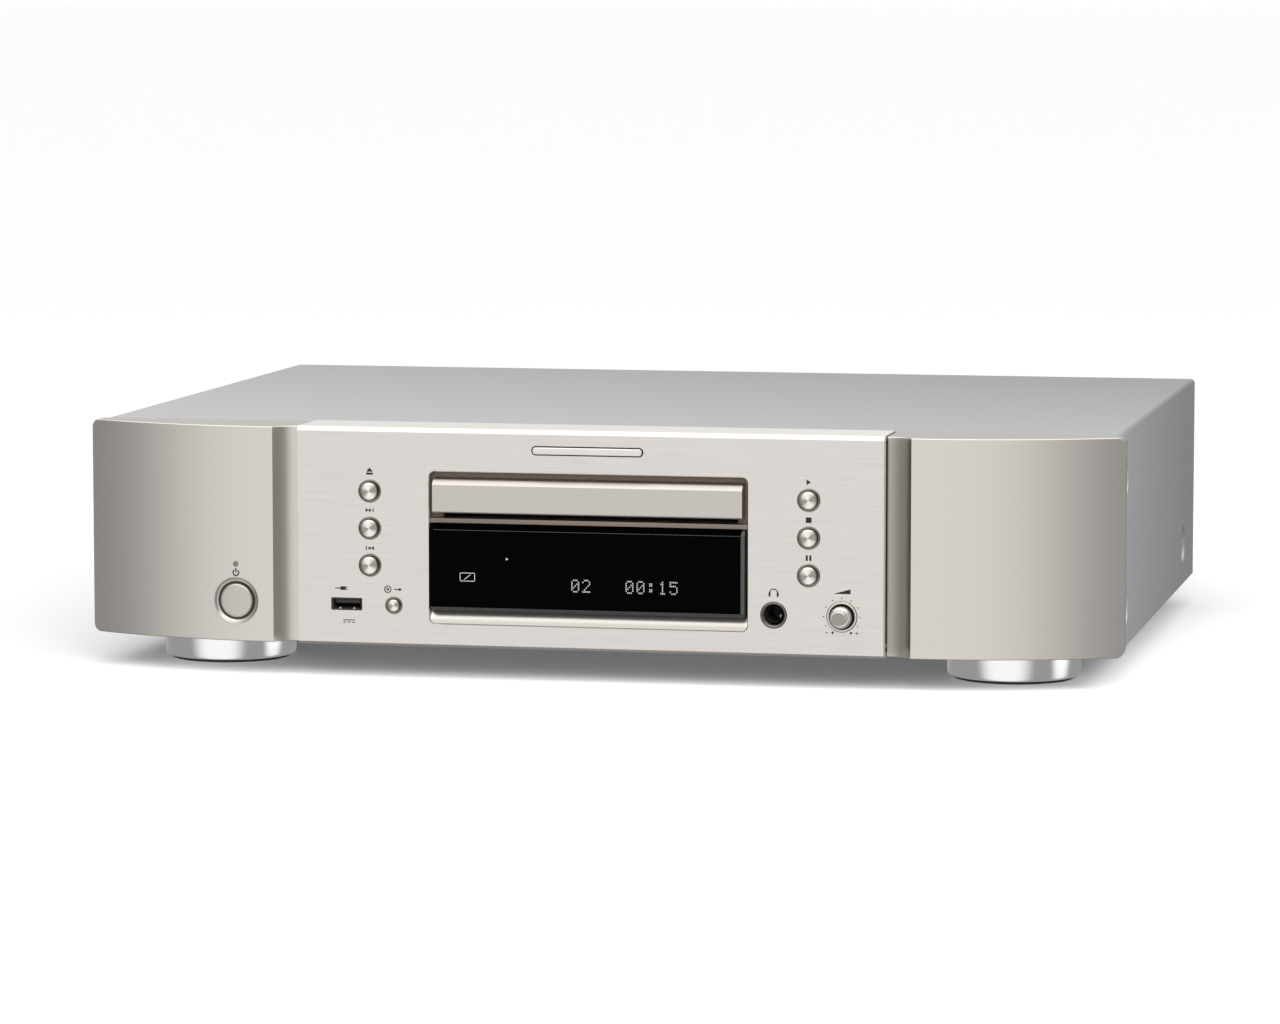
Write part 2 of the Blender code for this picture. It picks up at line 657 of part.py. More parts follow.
def make_loader(player):
    inner = LOADER_HALF - LOADER_WALL
    floor_top = LOADER_FLOOR + 2.5
    loader = add_piece("loader_frame", block(around(0, LOADER_HALF), (LOADER_FRONT, LOADER_BACK),
                                             (LOADER_FLOOR, LOADER_TOP)), "dark_moulding", player)
    cut(loader, block(around(0, inner), (LOADER_FRONT + 2.5, LOADER_BACK - 2.5), (floor_top, LOADER_TOP + 5)))
    cut(loader, block(around(0, inner - 0.5), (LOADER_FRONT - 2, LOADER_FRONT + 4), (66.5, LOADER_TOP + 5)))
    cut(loader, block(around(0, 50.0), (TRAVERSE_FRONT - 1, 182.0), (LOADER_FLOOR - 2, floor_top + 2)))
    gear_x = RACK_LINE + LOADING_TEETH * LOADING_MODULE / 2
    join(loader, rod(1.8, "Z", (gear_x, LOADING_Y), (floor_top - 1, 69.6), 12))
    axle_level = HINGE[1]
    for side in (-1, 1):
        rail = sorted((side * 58.0, side * (inner + 1)))
        join(loader, block(rail, (LOADER_FRONT + 2, LOADER_BACK - 2), (67.6, TRAY_BOTTOM - 0.4)))
        ear = sorted((side * 51.0, side * 54.0))
        join(loader, block(ear, around(HINGE[0], 6.0), (floor_top - 1, axle_level + 4.2)))
        for depth in (49.0, 190.0):
            join(loader, block(around(side * 64.0, 5.0), around(depth, 5.0),
                               (PAN_TOP + GAP, LOADER_FLOOR + 1)))
    cut(loader, rod(2.4, "X", HINGE, around(0, 56.0), 16))


def make_clamper(player):
    bridge = add_piece("clamper_bridge", block(around(0, LOADER_HALF), around(SPINDLE, 14.0),
                                               (LOADER_TOP + 0.4, LOADER_TOP + 3.0)), "zinc_steel", player)
    cut(bridge, rod(8.5, "Z", (0.0, SPINDLE), (LOADER_TOP - 2, LOADER_TOP + 6), 24))
    profile = [(0.0, 83.0), (8.5, 83.0), (8.5, TRAY_TOP + 0.2), (15.0, TRAY_TOP + 0.2), (15.0, 84.6),
               (7.2, 84.9), (7.2, 88.7), (11.0, 88.7), (11.0, 90.0), (0.0, 90.0)]
    add_piece("clamper", turned(profile, "Z", (0.0, SPINDLE), 24), "white_moulding", player,
              (0.0, SPINDLE, 85.0))


def make_tray(player):
    tray_group = add_empty("tray_carriage", (0.0, 0.0, TRAY_BOTTOM), player)
    front = -DRAWER_PROUD
    outline = [(front, DRAWER_BOTTOM + 0.7), (front + 0.5, DRAWER_BOTTOM), (DRAWER_BACK, DRAWER_BOTTOM),
               (DRAWER_BACK, DRAWER_TOP), (front + 3.2, DRAWER_TOP), (front + 1.0, 83.3), (front, 81.7)]
    add_piece("drawer_front", prism(outline, "X", around(0, DRAWER_HALF)), "champagne_aluminium", tray_group,
              (0.0, 0.0, TRAY_BOTTOM))
    centre = (0.0, SPINDLE)
    plan = [(-TRAY_HALF, TRAY_BACK), (-TRAY_HALF, DRAWER_BACK + GAP), (TRAY_HALF, DRAWER_BACK + GAP),
            (TRAY_HALF, TRAY_BACK), (SLOT_HALF, TRAY_BACK)]
    plan += arc(centre, (SLOT_HALF, SLOT_HALF), 360, 180, 12) + [(-SLOT_HALF, TRAY_BACK)]
    tray = add_piece("disc_tray", prism(plan, "Z", (TRAY_BOTTOM, TRAY_TOP)), "dark_moulding", tray_group,
                     (0.0, 0.0, TRAY_BOTTOM))
    rack = rack_outline(RACK_LINE, RACK_LINE - 4.0, LOADING_Y, 3, 29, LOADING_MODULE)
    join(tray, prism(rack, "Z", (RACK_BOTTOM, TRAY_BOTTOM + 0.5)))
    cut(tray, rod(DISC_RADIUS, "Z", centre, (77.0, 90.0), 48), rod(40.5, "Z", centre, (76.0, 90.0), 32))


def make_loading_drive(player):
    gear_centre = (RACK_LINE + LOADING_TEETH * LOADING_MODULE / 2, LOADING_Y)
    teeth = gear_outline(LOADING_TEETH, LOADING_MODULE, gear_centre, 180.0)
    gear = add_piece("loading_gear", prism(teeth, "Z", (RACK_BOTTOM, TRAY_BOTTOM - 0.5)), "white_moulding",
                     player, (*gear_centre, RACK_BOTTOM))
    join(gear, rod(5.0, "Z", gear_centre, (BELT_LEVELS[0] + 1, RACK_BOTTOM + 1), 16))
    join(gear, rod(PULLEY_RADIUS, "Z", gear_centre, BELT_LEVELS, 24))
    cut(gear, rod(2.1, "Z", gear_centre, (50.0, 75.0), 12))
    motor_centre = (MOTOR_X, LOADING_Y)
    shape = rounded_rectangle(around(motor_centre[0], 7.7), around(motor_centre[1], 6.0), 5.0)
    add_piece("loading_motor", prism(shape, "Z", (LOADER_FLOOR + 2.8, 60.0)), "zinc_steel", player)
    add_piece("motor_pulley", turned([(0.0, 60.3), (1.0, 60.3), (1.0, BELT_LEVELS[0]), (4.0, BELT_LEVELS[0]),
                                      (4.0, BELT_LEVELS[1]), (0.0, BELT_LEVELS[1])], "Z", motor_centre, 16),
              "white_moulding", player, (*motor_centre, BELT_LEVELS[0]))
    make_belt(player, gear_centre, motor_centre)


def belt_outline(large_centre, small_centre, offset):
    """The open belt's outline round both pulleys, a distance outside their rims."""
    span = small_centre[0] - large_centre[0]
    lean = math.degrees(math.asin((PULLEY_RADIUS - MOTOR_PULLEY_RADIUS) / span))
    large, small = PULLEY_RADIUS + offset, MOTOR_PULLEY_RADIUS + offset
    points = arc(large_centre, (large, large), 90 - lean, 270 + lean, 12)
    return points + arc(small_centre, (small, small), -90 + lean, 90 - lean, 8)


def make_belt(player, large_centre, small_centre):
    levels = (BELT_LEVELS[0] + 0.9, BELT_LEVELS[1] - 0.9)
    belt = add_piece("drive_belt", prism(belt_outline(large_centre, small_centre, 1.6), "Z", levels),
                     "rubber", player)
    inside = prism(belt_outline(large_centre, small_centre, 0.4), "Z", (levels[0] - 2, levels[1] + 2))
    cut(belt, inside)


def make_cam_slider(player):
    """The slider whose sloping slot lifts and lowers the front of the traverse."""
    pin_x, pin_z = CAM_PIN
    slider = add_piece("cam_slider", block((-20.0, 38.0), (CAM_FRONT, CAM_BACK), (LOADER_FLOOR + 2.8, 69.2)),
                       "white_moulding", player)
    slope = math.degrees(math.atan2(CAM_DROP, CAM_TRAVEL))
    reach = 2.6
    top, bottom = (pin_x, pin_z), (pin_x - CAM_TRAVEL, pin_z - CAM_DROP)
    slot = arc(top, (reach, reach), slope - 90, slope + 90, 5)
    slot += arc(bottom, (reach, reach), slope + 90, slope + 270, 5)
    cut(slider, prism(slot, "Y", (CAM_FRONT - 2, CAM_BACK + 2)))


# ---------------------------------------------------------------- traverse and pickup

def make_traverse(player):
    group = add_empty("traverse_pivot", (0.0, *HINGE), player)
    outer, inner = TRAVERSE_HALF, TRAVERSE_HALF - TRAVERSE_SHEET
    under = TRAVERSE_TOP - TRAVERSE_SHEET
    skirt = 59.0
    outline = [(-outer, skirt), (-inner, skirt), (-inner, under), (inner, under), (inner, skirt),
               (outer, skirt), (outer, TRAVERSE_TOP), (-outer, TRAVERSE_TOP)]
    plate = add_piece("traverse_plate", prism(outline, "Y", (TRAVERSE_FRONT, TRAVERSE_BACK)), "zinc_steel",
                      group, (0.0, *HINGE))
    cut(plate, rod(5.0, "Z", (0.0, SPINDLE), (60.0, 75.0), 16))
    cut(plate, block(around(0, 24.5), (94.0, 160.2), (60.0, 75.0)))
    for side in (-1, 1):
        axle = sorted((side * (inner + 1), side * 53.4))
        join(plate, rod(2.0, "X", HINGE, axle, 12))
        for ends in ((91.6, 93.6), (160.8, 162.8)):
            join(plate, block(around(side * ROD_X, 2.5), ends, (61.0, under + 0.5)))
        rod_name = "guide_rod_left" if side < 0 else "guide_rod_right"
        add_piece(rod_name, rod(ROD_RADIUS, "Y", (side * ROD_X, ROD_LEVEL), (93.9, 160.5), 12),
                  "polished_silver", group)
    join(plate, block(around(CAM_PIN[0], 4.0), (TRAVERSE_FRONT - 2.0, TRAVERSE_FRONT + 1),
                      (CAM_PIN[1] - 3, TRAVERSE_TOP)))
    join(plate, rod(1.4, "Y", CAM_PIN, (CAM_FRONT - 1.0, TRAVERSE_FRONT), 12))
    add_piece("spindle_motor", rod(12.0, "Z", (0.0, SPINDLE), (53.0, under - 0.4), 20), "zinc_steel", group)
    profile = [(0.0, under + GAP), (2.5, under + GAP), (2.5, 73.5), (15.5, 73.5), (15.5, 78.0), (7.3, 78.0),
               (6.2, 80.4), (0.0, 80.4)]
    add_piece("turntable", turned(profile, "Z", (0.0, SPINDLE), 24), "white_moulding", group,
              (0.0, SPINDLE, 78.0))
    return group


def make_pickup(group):
    sled = add_empty("pickup_sled", (0.0, LENS_Y, ROD_LEVEL), group)
    pickup = add_piece("optical_pickup", block(around(0, 17.5), around(LENS_Y, 8.0), (58.5, 72.6)),
                       "zinc_steel", sled, (0.0, LENS_Y, ROD_LEVEL))
    join(pickup, block(around(0, 24.4), around(LENS_Y, 6.0), (61.0, 65.6)))
    rack = rack_outline(SLED_LINE, 23.4, SLED_GEAR_Y, 13, 2, SLED_MODULE)
    join(pickup, prism(rack, "Z", SLED_LEVELS))
    for side in (-1, 1):
        cut(pickup, rod(ROD_RADIUS + GAP, "Y", (side * ROD_X, ROD_LEVEL), (80.0, 175.0), 12))
    profile = [(0.0, 73.4), (4.4, 73.4), (4.4, 75.0), (2.6, 75.6), (0.0, 75.9)]
    add_piece("pickup_lens", turned(profile, "Z", (0.0, LENS_Y), 16), "lens", sled, (0.0, LENS_Y, 73.4))


def make_sled_drive(group):
    gear_centre = (SLED_LINE + SLED_TEETH * SLED_MODULE / 2, SLED_GEAR_Y)
    teeth = gear_outline(SLED_TEETH, SLED_MODULE, gear_centre, 180.0)
    add_piece("sled_gear", prism(teeth, "Z", SLED_LEVELS), "white_moulding", group,
              (*gear_centre, SLED_LEVELS[0]))
    pinion_centre = (gear_centre[0], gear_centre[1] + (SLED_TEETH + PINION_TEETH) * SLED_MODULE / 2)
    teeth = gear_outline(PINION_TEETH, SLED_MODULE, pinion_centre, 270.0 + 180.0 / PINION_TEETH)
    add_piece("sled_pinion", prism(teeth, "Z", SLED_LEVELS), "white_moulding", group,
              (*pinion_centre, SLED_LEVELS[0]))
    add_piece("sled_motor", rod(6.0, "Z", pinion_centre, (50.0, SLED_LEVELS[0] - 0.5), 16), "zinc_steel",
              group)


# ---------------------------------------------------------------- the whole player

def build_player():
    clear_scene()
    player = add_empty("player", (0.0, 0.0, 0.0))
    make_base(player)
    make_rear_panel(player)
    make_cover(player)
    make_subframe(player)
    make_end_panels(player)
    make_front_plate(player)
    make_feet(player)
    make_recess_frame(player)
    make_display(player)
    make_control_board(player)
    make_keys(player)
    make_level_knob(player)
    make_power_button(player)
    make_front_sockets(player)
    make_rear_connectors(player)
    make_power_supply(player)
    make_main_board(player)
    make_loader(player)
    make_clamper(player)
    make_tray(player)
    make_loading_drive(player)
    make_cam_slider(player)
    traverse = make_traverse(player)
    make_pickup(traverse)
    make_sled_drive(traverse)


build_player()
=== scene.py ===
"""The looks of the compact disc player: fine surfaces, materials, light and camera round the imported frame.

Lengths are in millimetres and depths are measured back from the front plate's face, as in the solid model.
They turn to metres where a mesh is made.
"""
import json
import math

import bmesh
import bpy
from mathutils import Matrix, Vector


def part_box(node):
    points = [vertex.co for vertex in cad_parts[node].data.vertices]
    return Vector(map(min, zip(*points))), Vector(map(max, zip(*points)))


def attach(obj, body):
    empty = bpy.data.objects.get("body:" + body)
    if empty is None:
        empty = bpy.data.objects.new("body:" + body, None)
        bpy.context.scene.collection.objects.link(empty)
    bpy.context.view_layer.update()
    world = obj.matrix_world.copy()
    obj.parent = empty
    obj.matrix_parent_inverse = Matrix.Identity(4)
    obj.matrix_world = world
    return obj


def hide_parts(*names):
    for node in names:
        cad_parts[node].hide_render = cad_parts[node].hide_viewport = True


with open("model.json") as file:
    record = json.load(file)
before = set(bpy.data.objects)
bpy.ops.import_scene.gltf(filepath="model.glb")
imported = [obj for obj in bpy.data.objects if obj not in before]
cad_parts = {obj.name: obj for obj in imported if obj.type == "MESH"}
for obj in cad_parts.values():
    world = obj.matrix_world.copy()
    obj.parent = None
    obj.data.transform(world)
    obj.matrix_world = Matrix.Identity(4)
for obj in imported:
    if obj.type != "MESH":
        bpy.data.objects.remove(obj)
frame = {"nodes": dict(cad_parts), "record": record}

MM = 0.001
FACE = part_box("front_plate")[0].y
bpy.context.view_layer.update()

# The camera, fitted to the straight edges of the object.
CAMERA_TURN = 11.83
CAMERA_DROP = 5.96
CAMERA_DISTANCE = 2181.6
CAMERA_TARGET = (22.24, 0.0, 71.98)
CAMERA_LENS = 148.9

# Proportions of surfaces that the solid model only has in the rough.
PANEL_INNER = 135.0
PANEL_FRONT = 1.0
PANEL_RADIUS = 182.5
PANEL_CORNER = 3.2
PANEL_EDGE = 0.5
COVE_DEPTH = 6.0
COVE_END = 30.0
WINDOW_SLOPE = 2.2
TRAY_BOTTOM = 70.8
PRINT_HEIGHT = 0.04


# ---------------- places taken from the frame

def in_mm(point):
    """A point of the frame in millimetres from the front plate's face."""
    return Vector((point.x / MM, (point.y - FACE) / MM, point.z / MM))


def limits(node):
    """Lowest and highest corner of a node."""
    low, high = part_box(node)
    return in_mm(low), in_mm(high)


def middle(node):
    low, high = limits(node)
    return (low + high) / 2


def across(node):
    """Where a round control sits on the front: its x and z."""
    centre = middle(node)
    return centre.x, centre.z


def heading(azimuth, elevation=0.0):
    """A direction: azimuth turns from the front towards +X, elevation up."""
    turn, lift = math.radians(azimuth), math.radians(elevation)
    return Vector((math.sin(turn) * math.cos(lift), -math.cos(turn) * math.cos(lift), math.sin(lift)))


# ---------------- drawing tools

def in_space(first, second, level, axis):
    """Turn a point of an outline, and its level along the axis, into x, y, z."""
    if axis == "X":
        return Vector((level, first, second))
    if axis == "Y":
        return Vector((first, level, second))
    return Vector((first, second, level))


def arc(centre, radii, start, end, steps):
    """Points on an ellipse from one angle to another, in degrees."""
    points = []
    for step in range(steps + 1):
        angle = math.radians(start + (end - start) * step / steps)
        points.append((centre[0] + radii[0] * math.cos(angle), centre[1] + radii[1] * math.sin(angle)))
    return points


def round_corner_box(x_span, z_span, radius, steps=8):
    """A rectangle's outline with round corners."""
    low_x, high_x = x_span[0] + radius, x_span[1] - radius
    low_z, high_z = z_span[0] + radius, z_span[1] - radius
    points = []
    for centre, start in (((high_x, low_z), -90), ((high_x, high_z), 0), ((low_x, high_z), 90),
                          ((low_x, low_z), 180)):
        points += arc(centre, (radius, radius), start, start + 90, steps)
    return points


def around(centre, half):
    return (centre - half, centre + half)


def bar(x, z, half_width, half_height):
    """A rectangle's outline from its middle."""
    low, high = z - half_height, z + half_height
    left, right = x - half_width, x + half_width
    return [(left, low), (right, low), (right, high), (left, high)]


def rounded_slot(centre, halves, corner, span):
    """A rounded rectangle drawn out along Y, from its middle and half sizes."""
    outline = round_corner_box(around(centre[0], halves[0]), around(centre[1], halves[1]), corner, 4)
    return prism(outline, "Y", span)


def closed(shape):
    """Point every face of a finished shape outwards."""
    shape.normal_update()
    bmesh.ops.recalc_face_normals(shape, faces=shape.faces)
    return shape


def loft(sections):
    """Join closed loops that have the same number of points, and cap both ends."""
    shape = bmesh.new()
    rings = [[shape.verts.new(point) for point in section] for section in sections]
    count = len(rings[0])
    for ring, following in zip(rings, rings[1:]):
        for index in range(count):
            after = (index + 1) % count
            shape.faces.new((ring[index], ring[after], following[after], following[index]))
    shape.faces.new(rings[0])
    shape.faces.new(rings[-1])
    return closed(shape)


def prism(outline, axis, span):
    """Extrude a closed outline along an axis between two levels."""
    return loft([[in_space(first, second, level, axis) for first, second in outline] for level in span])


def block(x_span, y_span, z_span):
    corners = [(x_span[0], y_span[0]), (x_span[1], y_span[0]), (x_span[1], y_span[1]), (x_span[0], y_span[1])]
    return prism(corners, "Z", z_span)


def turned(profile, axis, centre, sides=64):
    """Spin (radius, level) points about an axis; a profile off the axis closes on itself as a ring."""
    shape = bmesh.new()
    points = [shape.verts.new((radius, 0.0, level)) for radius, level in profile]
    lines = [shape.edges.new(pair) for pair in zip(points, points[1:])]
    if profile[0][0] > 0.0:
        lines.append(shape.edges.new((points[-1], points[0])))
    bmesh.ops.spin(shape, geom=points + lines, cent=(0, 0, 0), axis=(0, 0, 1), angle=math.tau,
                   steps=sides, use_merge=True)
    bmesh.ops.remove_doubles(shape, verts=shape.verts, dist=MM)
    for point in shape.verts:
        point.co = in_space(point.co.x + centre[0], point.co.y + centre[1], point.co.z, axis)
    return closed(shape)


def rod(radius, axis, centre, span, sides=32):
    return tube((0.0, radius), axis, centre, span, sides)


def tube(radii, axis, centre, span, sides=64):
    """A plain tube between two radii and two levels, or a rod when the first radius is nought."""
    inner, outer = radii
    low, high = span
    return turned([(inner, low), (outer, low), (outer, high), (inner, high)], axis, centre, sides)


def countersunk(radius, centre, back, chamfer=0.35):
    """A cutter for a round hole in the front plate with a fine chamfer at its mouth."""
    proud = 1.0
    mouth = radius + chamfer + proud
    profile = [(0.0, -proud), (mouth, -proud), (radius, chamfer), (radius, back), (0.0, back)]
    return turned(profile, "Y", centre)


def gathered(shapes):
    """Several shapes as one, without a Boolean."""
    whole = bmesh.new()
    for shape in shapes:
        part = bpy.data.meshes.new("part")
        shape.to_mesh(part)
        shape.free()
        whole.from_mesh(part)
        bpy.data.meshes.remove(part)
    return whole


# ---------------- making pieces

def shade(mesh, sharp=35.0):
    mesh.shade_smooth()
    mesh.set_sharp_from_angle(angle=math.radians(sharp))


def add_object(name, shape):
    """A shape in millimetres as an object in metres."""
    for point in shape.verts:
        point.co = Vector((point.co.x * MM, FACE + point.co.y * MM, point.co.z * MM))
    mesh = bpy.data.meshes.new(name)
    shape.to_mesh(mesh)
    shape.free()
    item = bpy.data.objects.new(name, mesh)
    bpy.context.scene.collection.objects.link(item)
    return item


def add_piece(name, shape, material, body="chassis", replaces=None):
    """A visible piece that rides on a body and stands for the node it replaces."""
    piece = add_object(name, shape)
    piece.data.materials.append(MATERIALS[material])
    shade(piece.data)
    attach(piece, body)
    if replaces:
        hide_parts(replaces)
    return piece


def face_material(piece, material, chosen):
    """Give the faces that a test picks out a second material."""
    piece.data.materials.append(MATERIALS[material])
    for face in piece.data.polygons:
        if chosen(face):
            face.material_index = 1


def settle(piece):
    """Replace a piece's mesh by what its modifiers make of it."""
    piece.data = bpy.data.meshes.new_from_object(piece.evaluated_get(bpy.context.evaluated_depsgraph_get()))
    piece.modifiers.clear()
    shade(piece.data)


def carve(piece, shapes, operation="DIFFERENCE"):
    """Cut shapes from a piece, or keep only what lies inside them."""
    cutters = [add_object(f"{piece.name}_cutter_{index}", shape) for index, shape in enumerate(shapes)]
    for cutter in cutters:
        modifier = piece.modifiers.new(cutter.name, "BOOLEAN")
        modifier.operation = operation
        modifier.solver = "EXACT"
        modifier.object = cutter
    settle(piece)
    for cutter in cutters:
        bpy.data.objects.remove(cutter, do_unlink=True)


def soften(piece, width, segments=2, angle=30.0):
    """Round a piece's sharp edges."""
    modifier = piece.modifiers.new("soft_edges", "BEVEL")
    modifier.width = width * MM
    modifier.segments = segments
    modifier.limit_method = "ANGLE"
    modifier.angle_limit = math.radians(angle)
    settle(piece)


def flatten_shading(piece):
    """Keep big flat faces evenly lit next to rounded edges."""
    modifier = piece.modifiers.new("even_faces", "WEIGHTED_NORMAL")
    modifier.keep_sharp = True


# ---------------- materials

def new_material(name, slot, colour, roughness, metallic=0.0, **settings):
    material = bpy.data.materials.new(name)
    material.use_nodes = True
    material["slot"] = slot
    shader = material.node_tree.nodes["Principled BSDF"]
    shader.inputs["Base Color"].default_value = (*colour, 1.0)
    shader.inputs["Roughness"].default_value = roughness
    shader.inputs["Metallic"].default_value = metallic
    for socket, value in settings.items():
        shader.inputs[socket.replace("_", " ")].default_value = value
    return material


def add_node(owner, kind, **settings):
    """A shader node of a material or of the world, with its sockets set by name."""
    item = owner.node_tree.nodes.new(kind)
    for socket, value in settings.items():
        item.inputs[socket.replace("_", " ")].default_value = value
    return item


def link(owner, output, target):
    owner.node_tree.links.new(output, target)


def feed(material, output, socket):
    """Link a node's output to one of the shader's own sockets."""
    link(material, output, material.node_tree.nodes["Principled BSDF"].inputs[socket])


def vector_math(owner, operation, vector, fixed=(1.0, 1.0, 1.0)):
    """What an operation makes of a linked vector and a fixed one."""
    item = add_node(owner, "ShaderNodeVectorMath")
    item.operation = operation
    item.inputs[1].default_value = fixed
    link(owner, vector, item.inputs[0])
    return item.outputs["Value" if operation == "DOT_PRODUCT" else "Vector"]


def noise(material, cell, stretch=(1.0, 1.0, 1.0), detail=4.0):
    """Noise whose cells are about so many millimetres across, longer where stretch is more than one."""
    place = add_node(material, "ShaderNodeTexCoord")
    mapping = add_node(material, "ShaderNodeMapping", Scale=[1.0 / (cell * MM * run) for run in stretch])
    texture = add_node(material, "ShaderNodeTexNoise", Scale=1.0, Detail=detail, Roughness=0.55)
    link(material, place.outputs["Object"], mapping.inputs["Vector"])
    link(material, mapping.outputs["Vector"], texture.inputs["Vector"])
    return texture.outputs["Fac"]


def spread(owner, value, low, high, start=0.3, end=0.7, kind="LINEAR"):
    """Map a range of a value, the middle of a noise unless told otherwise, to a range from low to high."""
    item = add_node(owner, "ShaderNodeMapRange", From_Min=start, From_Max=end, To_Min=low, To_Max=high)
    item.interpolation_type = kind
    link(owner, value, item.inputs["Value"])
    return item.outputs["Result"]


def mix_colours(material, share, dark, light):
    """Colour the surface from dark to light as a share goes from nought to one."""
    mix = add_node(material, "ShaderNodeMix")
    mix.data_type = "RGBA"
    ends = [item for item in mix.inputs if item.type == "RGBA"]
    ends[0].default_value = (*dark, 1.0)
    ends[1].default_value = (*light, 1.0)
    link(material, share, mix.inputs["Factor"])
    feed(material, [item for item in mix.outputs if item.type == "RGBA"][0], "Base Color")


def vary_colour(material, value, colour, swing, start=0.3, end=0.7):
    """Let a value lighten and darken the colour by a share of itself."""
    dark = [channel * (1 - swing) for channel in colour]
    light = [min(channel * (1 + swing), 1.0) for channel in colour]
    mix_colours(material, spread(material, value, 0.0, 1.0, start, end), dark, light)


def vary_roughness(material, value, roughness, swing):
    feed(material, spread(material, value, roughness - swing, roughness + swing), "Roughness")


def bump(material, value, height):
    """Raise the surface by so many millimetres where the value is one."""
    item = add_node(material, "ShaderNodeBump", Strength=1.0, Distance=height * MM)
    link(material, value, item.inputs["Height"])
    feed(material, item.outputs["Normal"], "Normal")


def turn_grain(material):
    """Run the metal's fine grooves round an upright axis through the piece."""
    tangent = add_node(material, "ShaderNodeTangent")
    tangent.direction_type = "RADIAL"
    tangent.axis = "Z"
    feed(material, tangent.outputs["Tangent"], "Tangent")


def make_grained(name, slot, colour, roughness, metallic, cell, swing, height, **settings):
    """A surface with one even grain in its roughness and height and, where it has a swing, in its colour."""
    material = new_material(name, slot, colour, roughness, metallic, **settings)
    grain = noise(material, cell)
    if swing:
        vary_colour(material, grain, colour, swing)
    vary_roughness(material, grain, roughness, roughness * 0.12)
    bump(material, grain, height)
    return material


def make_brushed_aluminium():
    """Anodised aluminium with long fine brushing along the front."""
    colour, roughness = (0.682, 0.644, 0.612), 0.33
    material = new_material("brushed_aluminium", "champagne_aluminium", colour, roughness, 1.0,
                            Anisotropic=0.5, Anisotropic_Rotation=0.25)
    turn_grain(material)
    vary_colour(material, noise(material, 0.55, stretch=(45.0, 1.0, 1.0), detail=5.0), colour, 0.045)
    fine = noise(material, 0.12, stretch=(90.0, 1.0, 1.0), detail=3.0)
    vary_roughness(material, fine, roughness, 0.05)
    bump(material, fine, 0.004)
    return material


def make_cover_paint():
    """Grey paint with a fine grain, and painted shade that darkens it towards the rear and the right."""
    colour = (0.47, 0.472, 0.472)
    material = make_grained("cover_paint", "cover_paint", colour, 0.40, 0.80, 0.35, 0.0, 0.006)
    place = add_node(material, "ShaderNodeTexCoord").outputs["Object"]
    painted_falloff = vector_math(material, "DOT_PRODUCT", place, (0.45, 1.0, 0.0))
    # Painted shade: the colour falls off towards the rear and the right, standing in for the light's falloff.
    vary_colour(material, painted_falloff, colour, 0.25, start=0.24, end=-0.22)
    return material


def make_foot_metal():
    """Silver feet, turned on a lathe."""
    material = make_grained("turned_silver", "foot_metal", (0.93, 0.93, 0.935), 0.17, 1.0, 0.4, 0.01, 0.002,
                            Anisotropic=0.6, Anisotropic_Rotation=0.25)
    turn_grain(material)
    return material


def make_key_metal():
    """Silver keys with a painted highlight above and below their middles and painted shade at their sides,
    standing in for the glint of their circular grooves.
    """
    shaded, pale = (0.34, 0.30, 0.27), (0.86, 0.84, 0.81)
    material = make_grained("spun_silver", "key_metal", pale, 0.26, 1.0, 0.3, 0.0, 0.002)
    place = add_node(material, "ShaderNodeTexCoord").outputs["Generated"]
    offset = vector_math(material, "SUBTRACT", place, (0.5, 0.5, 0.5))
    outwards = vector_math(material, "NORMALIZE", vector_math(material, "MULTIPLY", offset, (1.0, 0.0, 1.0)))
    # Painted highlight and painted shade: the colour goes from shaded to pale with the angle round each key's
    # middle.
    painted_glint_share = add_node(material, "ShaderNodeMath")
    painted_glint_share.operation = "ABSOLUTE"
    link(material, vector_math(material, "DOT_PRODUCT", outwards, heading(-90.0, 75.0)), painted_glint_share.inputs[0])
    mix_colours(material, spread(material, painted_glint_share.outputs["Value"], 0.0, 1.0, 0.35, 0.95), shaded, pale)
    return material


def make_steel():
    """Zinc-plated sheet with its soft spangle."""
    colour, roughness = (0.52, 0.53, 0.54), 0.42
    material = new_material("zinc_steel", "zinc_steel", colour, roughness, 1.0)
    spangle = noise(material, 6.0, detail=2.0)
    vary_colour(material, spangle, colour, 0.10)
    vary_roughness(material, spangle, roughness, 0.08)
    bump(material, noise(material, 0.4), 0.004)
    return material


def make_board():
    """Green solder mask over copper tracks."""
    colour = (0.02, 0.14, 0.06)
    material = new_material("circuit_board", "circuit_board", colour, 0.40, 0.0, Coat_Weight=0.4)
    tracks = noise(material, 3.0, stretch=(1.0, 4.0, 1.0), detail=0.0)
    vary_colour(material, tracks, colour, 0.35, 0.48, 0.52)
    bump(material, spread(material, tracks, 0.0, 1.0, 0.48, 0.52), 0.03)
    return material


def make_winding():
    """Varnished copper winding under tape."""
    colour = (0.60, 0.28, 0.12)
    material = new_material("winding", "winding", colour, 0.38, 0.6)
    turns = noise(material, 0.8, stretch=(1.0, 1.0, 30.0), detail=1.0)
    vary_colour(material, turns, colour, 0.25)
    bump(material, turns, 0.15)
    return material


def make_glow():
    """A lit element of the display."""
    strength = 0.62
    material = new_material("display_dots", "display_glass", (0.02, 0.02, 0.02), 0.5,
                            Emission_Color=(0.93, 0.97, 1.0, 1.0))
    flicker = noise(material, 0.5, detail=1.0)
    feed(material, spread(material, flicker, strength * 0.9, strength * 1.1), "Emission Strength")
    return material


